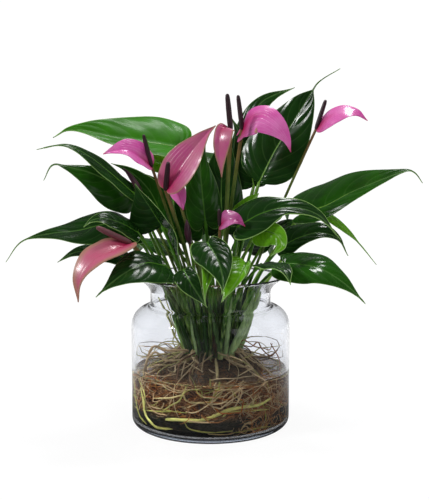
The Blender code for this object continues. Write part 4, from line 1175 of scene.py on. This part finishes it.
class ANTHURIUM_OT_leaves(bpy.types.Operator):
    """Makes every leaf: a veined blade with a pale edge, and its stalk"""
    bl_idname = "anthurium.leaves"
    bl_label = "Leaves"

    def execute(self, context):
        thickness = context.scene.anthurium_sizes.blade_thickness
        for index, leaf in enumerate(LEAVES, 1):
            points, to_edge, to_rib, midrib, normals = blade_rows(leaf, leaf.outline, LEAF_MAKE, leaf.thread,
                                                                  leaf.wave, index * 1.7)
            blade = lofted("blade", points, thickness, ("leaf " + leaf.tone, "leaf underside", "leaf rim"),
                           to_edge=to_edge, to_rib=to_rib, margin=np.full_like(to_edge, leaf.margin))
            whole = joined([blade, leaf_stalk(leaf.root, midrib, normals)], f"leaf_with_stalk_{index:02d}")
            keep(whole, "leaf", 60, f"leaf_{index:02d}")
        return {"FINISHED"}


def flower_stalk(number, end, points, radius, foot):
    """A flower's stalk, thickest at its foot by a share of its radius."""
    share = np.linspace(0, 1, points)
    return marked_rod(stalk_line(number, end, points), radius * (1 + foot * np.clip(1 - share / 0.5, 0, 1)), 3,
                      "flower stalk")


def spadix(start, end, radius, finish):
    """The flower's spike: close-set small flowers in crossing rings on a tapered, round-ended rod."""
    nothing_selected()
    bpy.ops.mesh.primitive_uv_sphere_add(segments=30, ring_count=110, radius=1)
    spike = named("spike")
    axis = end - start
    length = np.linalg.norm(axis)
    axis = axis / length
    side = unit(np.cross(axis, (0.3, -0.8, 0.1)))
    other = np.cross(axis, side)
    spots = spots_of(spike).astype(float)
    share = 1 - np.arccos(np.clip(spots[:, 2], -1, 1)) / math.pi
    angle = np.arctan2(spots[:, 1], spots[:, 0])
    rows = length / 1.35
    raised = np.abs(np.cos(share * rows * math.pi + 5 * angle)) * np.abs(np.cos(share * rows * math.pi - 5 * angle))
    profile = np.interp(share, (0, 0.01, 0.05, 0.2, 0.6, 0.88, 0.96, 0.99, 1),
                        (0, 0.55, 0.86, 1.0, 0.97, 0.84, 0.68, 0.42, 0))
    thick = radius * profile * (1 + 0.06 * raised)
    ring = np.cos(angle)[:, None] * side + np.sin(angle)[:, None] * other
    move_spots(spike, start + axis * (share * length)[:, None] + ring * thick[:, None])
    point_values(spike, "raised", raised)
    on_all_of(spike, bpy.ops.mesh.normals_make_consistent, inside=False)
    return coated(spike, finish)


class ANTHURIUM_OT_flowers(bpy.types.Operator):
    """Makes every open flower: its spathe, and its stalk with the spadix"""
    bl_idname = "anthurium.flowers"
    bl_label = "Flowers"

    def execute(self, context):
        for index, flower in enumerate(FLOWERS, 1):
            top, end = np.array(flower.midrib[0], float), np.array(flower.spadix, float)
            towards = unit(np.array(flower.midrib[1], float) - top)
            shape = flower._replace(midrib=[tuple(top + towards * SPATHE_CLEAR)] + flower.midrib[1:])
            points, to_edge, to_rib, _, _ = blade_rows(shape, SPATHE_OUTLINE, SPATHE_MAKE, wave=0.5,
                                                       phase=index * 2.1)
            skin = "spathe " + flower.tone
            spathe = lofted(f"flower_spathe_{index}", points, SPATHE_THICKNESS, (skin, "spathe back", skin),
                            to_edge=to_edge, to_rib=to_rib)
            keep(spathe, "spathe", 60, f"spathe_{index}")
            stalk = flower_stalk(flower.root, top, 30, flower.stalk, 0.6)
            finish = "spadix rose" if flower.tone == "aged" else "spadix purple"
            spike = spadix(top - unit(end - top), end, flower.spike, finish)
            keep(joined([stalk, spike], f"stalk_with_spadix_{index}"), "spadix", 70, f"flower_stalk_{index}")
        return {"FINISHED"}


class ANTHURIUM_OT_buds(bpy.types.Operator):
    """Makes the flowers that are still rolled up"""
    bl_idname = "anthurium.buds"
    bl_label = "Rolled flowers"

    def execute(self, context):
        swell = np.interp(np.linspace(0, 1, 26), (0, 0.12, 0.4, 0.7, 0.9, 1), (0.55, 0.85, 1.05, 0.8, 0.35, 0.06))
        for index, bud in enumerate(BUDS, 1):
            line = smooth_line(bud.line, 26)
            roll = marked_rod(line, bud.radius * swell, 5, "rolled flower")
            stalk = flower_stalk(bud.root, line[0], 26, 1.7, 0.7)
            keep(joined([roll, stalk], f"rolled_flower_{index}"), "spadix", 70, f"flower_bud_{index}")
        return {"FINISHED"}


class ANTHURIUM_PT_panel(bpy.types.Panel):
    """Lists the steps that build the plant"""
    bl_idname = "ANTHURIUM_PT_panel"
    bl_label = "Anthurium"
    bl_space_type = "VIEW_3D"
    bl_region_type = "UI"
    bl_category = "Anthurium"

    def draw(self, context):
        for group in (context.scene.anthurium_sizes, context.scene.anthurium_colours):
            for name in group.__annotations__:
                self.layout.prop(group, name)
        for step in STEPS:
            self.layout.operator(step.bl_idname)


STEPS = (ANTHURIUM_OT_stage, ANTHURIUM_OT_vase, ANTHURIUM_OT_water, ANTHURIUM_OT_crown, ANTHURIUM_OT_roots,
         ANTHURIUM_OT_leaves, ANTHURIUM_OT_flowers, ANTHURIUM_OT_buds)
CLASSES = (AnthuriumColours, AnthuriumSizes) + STEPS + (ANTHURIUM_PT_panel,)


def register():
    for cls in CLASSES:
        bpy.utils.register_class(cls)
    bpy.types.Scene.anthurium_colours = PointerProperty(type=AnthuriumColours)
    bpy.types.Scene.anthurium_sizes = PointerProperty(type=AnthuriumSizes)


def unregister():
    del bpy.types.Scene.anthurium_sizes
    del bpy.types.Scene.anthurium_colours
    for cls in reversed(CLASSES):
        bpy.utils.unregister_class(cls)


def main():
    register()
    bpy.ops.anthurium.stage()
    bpy.ops.anthurium.vase()
    bpy.ops.anthurium.water()
    bpy.ops.anthurium.crown()
    bpy.ops.anthurium.roots()
    bpy.ops.anthurium.leaves()
    bpy.ops.anthurium.flowers()
    bpy.ops.anthurium.buds()


if __name__ == "__main__":
    main()
